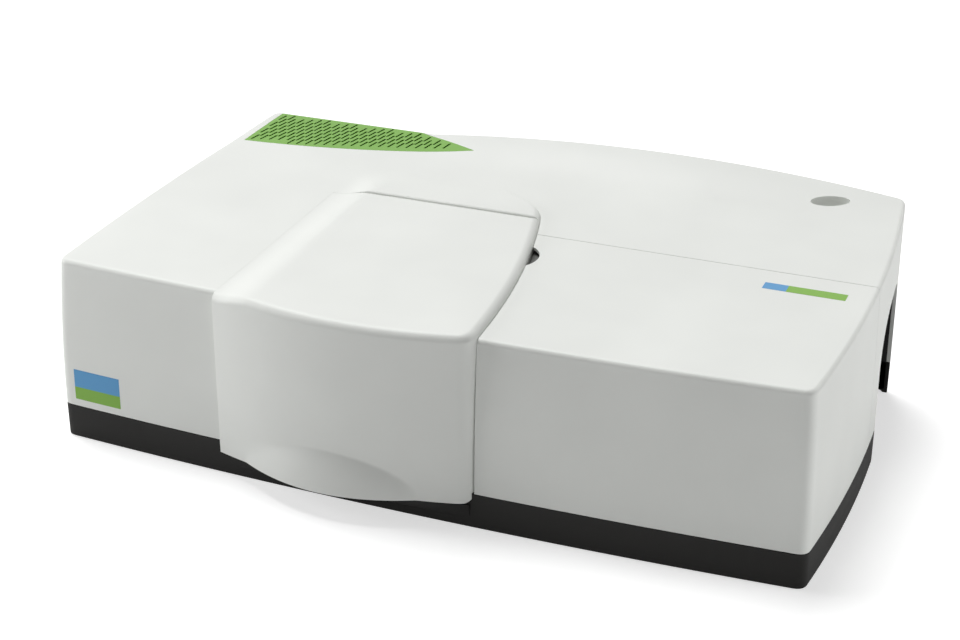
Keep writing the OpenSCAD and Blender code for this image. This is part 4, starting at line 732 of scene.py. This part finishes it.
def clearGlass(name, tint, rough):
    # Fused silica: clear and bright-edged, with a faint film that softens the highlights in patches
    mat, tree, shader = startMaterial(name)
    shader.inputs["Base Color"].default_value = linear(tint)
    shader.inputs["Transmission Weight"].default_value = 1.0
    shader.inputs["IOR"].default_value = 1.46
    place = addNode(tree, "ShaderNodeTexCoord").outputs["Object"]
    film = addNode(tree, "ShaderNodeTexNoise", {"Scale": 60.0, "Detail": 3.0}, Vector=place)
    ends = {"To Min": rough, "To Max": rough + 0.08}
    gloss = addNode(tree, "ShaderNodeMapRange", ends, Value=film.outputs["Fac"])
    tree.links.new(gloss.outputs[0], shader.inputs["Roughness"])
    return mat


# Arguments: colour, roughness, size of the grain or the streaks in mm, depth of the relief
# Off-white moulding: its pebble spreads the key into a wide soft sheen, without a hard glint
whiteCover = mouldedPlastic("white_abs_moulding", "#E6E8E4", 0.5, 1.6, 0.06)
slotLooks = {
    # textured and nearly matt, so that the tray reads as a dark line under the covers
    "black_base": mouldedPlastic("black_textured_tray", "#100F0D", 0.65, 1.2, 0.35, ior=1.38, vary=0.1),
    # coloured right through, a little glossier than the covers, so that its slot edges catch the light
    "green_grille": mouldedPlastic("green_abs_grille", "#6BA329", 0.45, 1.4, 0.1),
    # dusty and dull, hardly a highlight
    "rubber": mouldedPlastic("black_rubber", "#191919", 0.8, 0.8, 0.4, ior=1.52, vary=0.12),
    # plain small mouldings: black with a soft grey sheen
    "black_plastic": mouldedPlastic("black_moulded_plastic", "#151515", 0.45, 1.0, 0.2, vary=0.1),
    # the oxide layer mutes the metal below: dark, with a soft grey sheen
    "black_metal": wornMetal("black_anodised_aluminium", "#1E1F20", 0.5, (1.2, 1.2, 1.2), 0.2, metallic=0.4),
    # cutter marks along X stretch the highlights across them
    "aluminium": wornMetal("milled_aluminium", "#B9BBBC", 0.34, (30, 0.8, 0.8), 0.12),
    # belt-brushed along Y: fine lines and a long highlight
    "steel": wornMetal("brushed_stainless_steel", "#B8B6B2", 0.28, (0.5, 18, 0.5), 0.12),
    # plated after rolling: broad cloudy patches, bluish grey
    "sheet_metal": wornMetal("zinc_plated_sheet", "#9FA4A8", 0.42, (14, 14, 14), 0.05),
    "glass": clearGlass("fused_silica", "#F4F8FA", 0.02),
    # vapour-coated on polished glass: sharp reflections, only the haze varies
    "mirror": wornMetal("aluminised_mirror", "#E6E9EC", 0.1, (40, 40, 40), 0.0),
    # turned: fine tool marks that give a warm, narrow gleam
    "brass": wornMetal("turned_brass", "#C9A558", 0.25, (0.6, 0.6, 6), 0.1),
    # glazed: smooth and glossy, with slow waves in the glaze
    "ceramic": mouldedPlastic("glazed_ceramic", "#DAD4C6", 0.22, 4.0, 0.03, ior=1.55, vary=0.04),
    # solder mask over glass fibre: a half-gloss green that goes lighter and darker in patches
    "board": mouldedPlastic("glass_fibre_board", "#1F5A38", 0.4, 0.9, 0.15, ior=1.55, vary=0.15),
}


def finish(obj, mat):
    obj.data.materials.clear()
    obj.data.materials.append(mat)
    return obj


skins = (
    (makeMainCover, "main_cover", "base", "white_cover"), (makeLid, "sample_lid", "lid", "white_cover"),
    (makeDetectorCover, "detector_cover", "detector_hood", "white_cover"),
    (makeTray, "base_tray", "base", "black_base"), (makeLiner, "hand_pockets", "base", "black_plastic"),
    (makeGrille, "vent_grille", "base", "green_grille"),
)
for builder, node, body, slot in skins:
    piece = finish(builder(), whiteCover if slot == "white_cover" else slotLooks[slot])
    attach(piece, body)
    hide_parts(node)
    print("built", piece.name, len(piece.data.polygons), "faces")

blue, green = "#4F97CB", "#7AAE35"
x0, x1, y0, y1, split = plates["top"]
topPlan = [(x0, y0), (x1, y0), (x1, y1), (x0, y1)]
topPlate = finish(makePlate("top_plate", topPlan, plates["low"], far, "z"),
                  twoColourPlate("blue_and_green_foil", 0, split, blue, green))
x0, x1, z0, z1, split = plates["front"]
frontPlan = [(-far, z0), (0, z0), (0, z1), (-far, z1)]
frontPlate = finish(makePlate("front_plate", frontPlan, x0, x1, "x"),
                    twoColourPlate("green_and_blue_foil", 2, split, green, blue))
# grey pad whose tone is painted light: lighter than the liners, it brightens the shade inside the notch so
# that the notch doesn't read as a hole
notchFloor = finish(makeNotchFloor(), mouldedPlastic("notch_painted_light_grey", "#5E5F5C", 0.7, 1.0, 0.2))
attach(notchFloor, "detector_hood")
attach(topPlate, "detector_hood")
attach(frontPlate, "base")
print("built plates and the notch's floor")

for part in frame["record"]["subparts"]:
    if part["material_slot"] in slotLooks:
        finish(nodes[part["node"]], slotLooks[part["material_slot"]])
print("dressed the other nodes")


# Studio, in metres and watts: a soft key from above and behind, a lamp from the left and a weaker one at the
# right; each lamp is its name, place, aim, size and power
studio = {
    "floorSize": 14.0, "floorZ": -0.0005, "floorTone": 0.66, "floorRough": 0.9, "floorGloss": 0.1,
    # the floor glows a little for every ray and more for the camera, and so fades into the white behind
    "glow": 0.28, "glowSeen": 0.34, "worldSoft": 0.02, "worldWhite": 1.0,
    "keyPower": 2.78, "keySpread": 34.0, "keyWay": (0.38, -0.27, -1.0),
    "lamps": (("leftSoft", (-2.3, -0.9, 0.9), (-0.1, -0.3, 0.15), 1.2, 23.0),
              ("rightSoft", (2.3, 0.0, 0.5), (0.4, 0.0, 0.15), 1.2, 13.0)),
}
white = (1, 1, 1, 1)


def aimAlong(obj, way):
    obj.rotation_euler = Vector(way).to_track_quat("-Z", "Y").to_euler()


def makeFloor():
    bpy.ops.mesh.primitive_plane_add(size=studio["floorSize"], location=(0, 0, studio["floorZ"]))
    floor = bpy.context.object
    floor.name = "floor"
    mat, tree, shader = startMaterial("pale_floor")
    shader.inputs["Base Color"].default_value = (studio["floorTone"],) * 3 + (1,)
    shader.inputs["Roughness"].default_value = studio["floorRough"]
    shader.inputs["Specular IOR Level"].default_value = studio["floorGloss"]
    shader.inputs["Emission Color"].default_value = white
    seen = addNode(tree, "ShaderNodeLightPath").outputs["Is Camera Ray"]
    sums = {"operation": "MULTIPLY_ADD", 1: studio["glowSeen"], 2: studio["glow"]}
    glow = addNode(tree, "ShaderNodeMath", sums, _0=seen)
    tree.links.new(glow.outputs[0], shader.inputs["Emission Strength"])
    finish(floor, mat)


def makeWorld():  # white to the camera, to glass and in reflections, nearly dark as a light
    world = bpy.data.worlds.new("studio")
    bpy.context.scene.world = world
    world.use_nodes = True
    tree = world.node_tree
    tree.nodes.clear()
    ray = addNode(tree, "ShaderNodeLightPath").outputs
    soft = addNode(tree, "ShaderNodeBackground", {"Color": white, "Strength": studio["worldSoft"]})
    bright = addNode(tree, "ShaderNodeBackground", {"Color": white, "Strength": studio["worldWhite"]})
    either = {"operation": "MAXIMUM"}
    seen = addNode(tree, "ShaderNodeMath", either, _0=ray["Is Camera Ray"], _1=ray["Is Transmission Ray"])
    seen = addNode(tree, "ShaderNodeMath", either, _0=seen.outputs[0], _1=ray["Is Glossy Ray"])
    ends = {"_1": soft.outputs[0], "_2": bright.outputs[0]}
    blend = addNode(tree, "ShaderNodeMixShader", None, _0=seen.outputs[0], **ends)
    addNode(tree, "ShaderNodeOutputWorld", None, _0=blend.outputs[0])


def makeLamps():
    key = bpy.data.lights.new("key", "SUN")
    key.energy, key.angle = studio["keyPower"], radians(studio["keySpread"])
    aimAlong(addObject("key", key), studio["keyWay"])
    for name, at, aim, size, power in studio["lamps"]:
        data = bpy.data.lights.new(name, "AREA")
        data.size, data.energy = size, power
        lamp = addObject(name, data)
        lamp.location = at
        aimAlong(lamp, Vector(aim) - Vector(at))


# Camera as solved from corners and seams: lens and sensor in mm, place in metres, angles in degrees
view = {
    "sensor": 36.0, "lens": 72.91, "shift": (0.0069, -0.0064), "place": (0.89936, -2.19300, 1.21750),
    "down": 24.147, "turn": 22.939,
}


def placeCamera():
    data = bpy.data.cameras.new("camera")
    data.sensor_width, data.lens = view["sensor"], view["lens"]
    data.shift_x, data.shift_y = view["shift"]
    camera = addObject("camera", data)
    camera.location = Vector(view["place"]) + Vector((0, setBack * mm, 0))
    camera.rotation_euler = (radians(90 - view["down"]), 0, radians(view["turn"]))
    bpy.context.scene.camera = camera


placeCamera()
makeFloor()
makeWorld()
makeLamps()
print("camera and lights placed")
bpy.context.scene.view_settings.view_transform = "Standard"
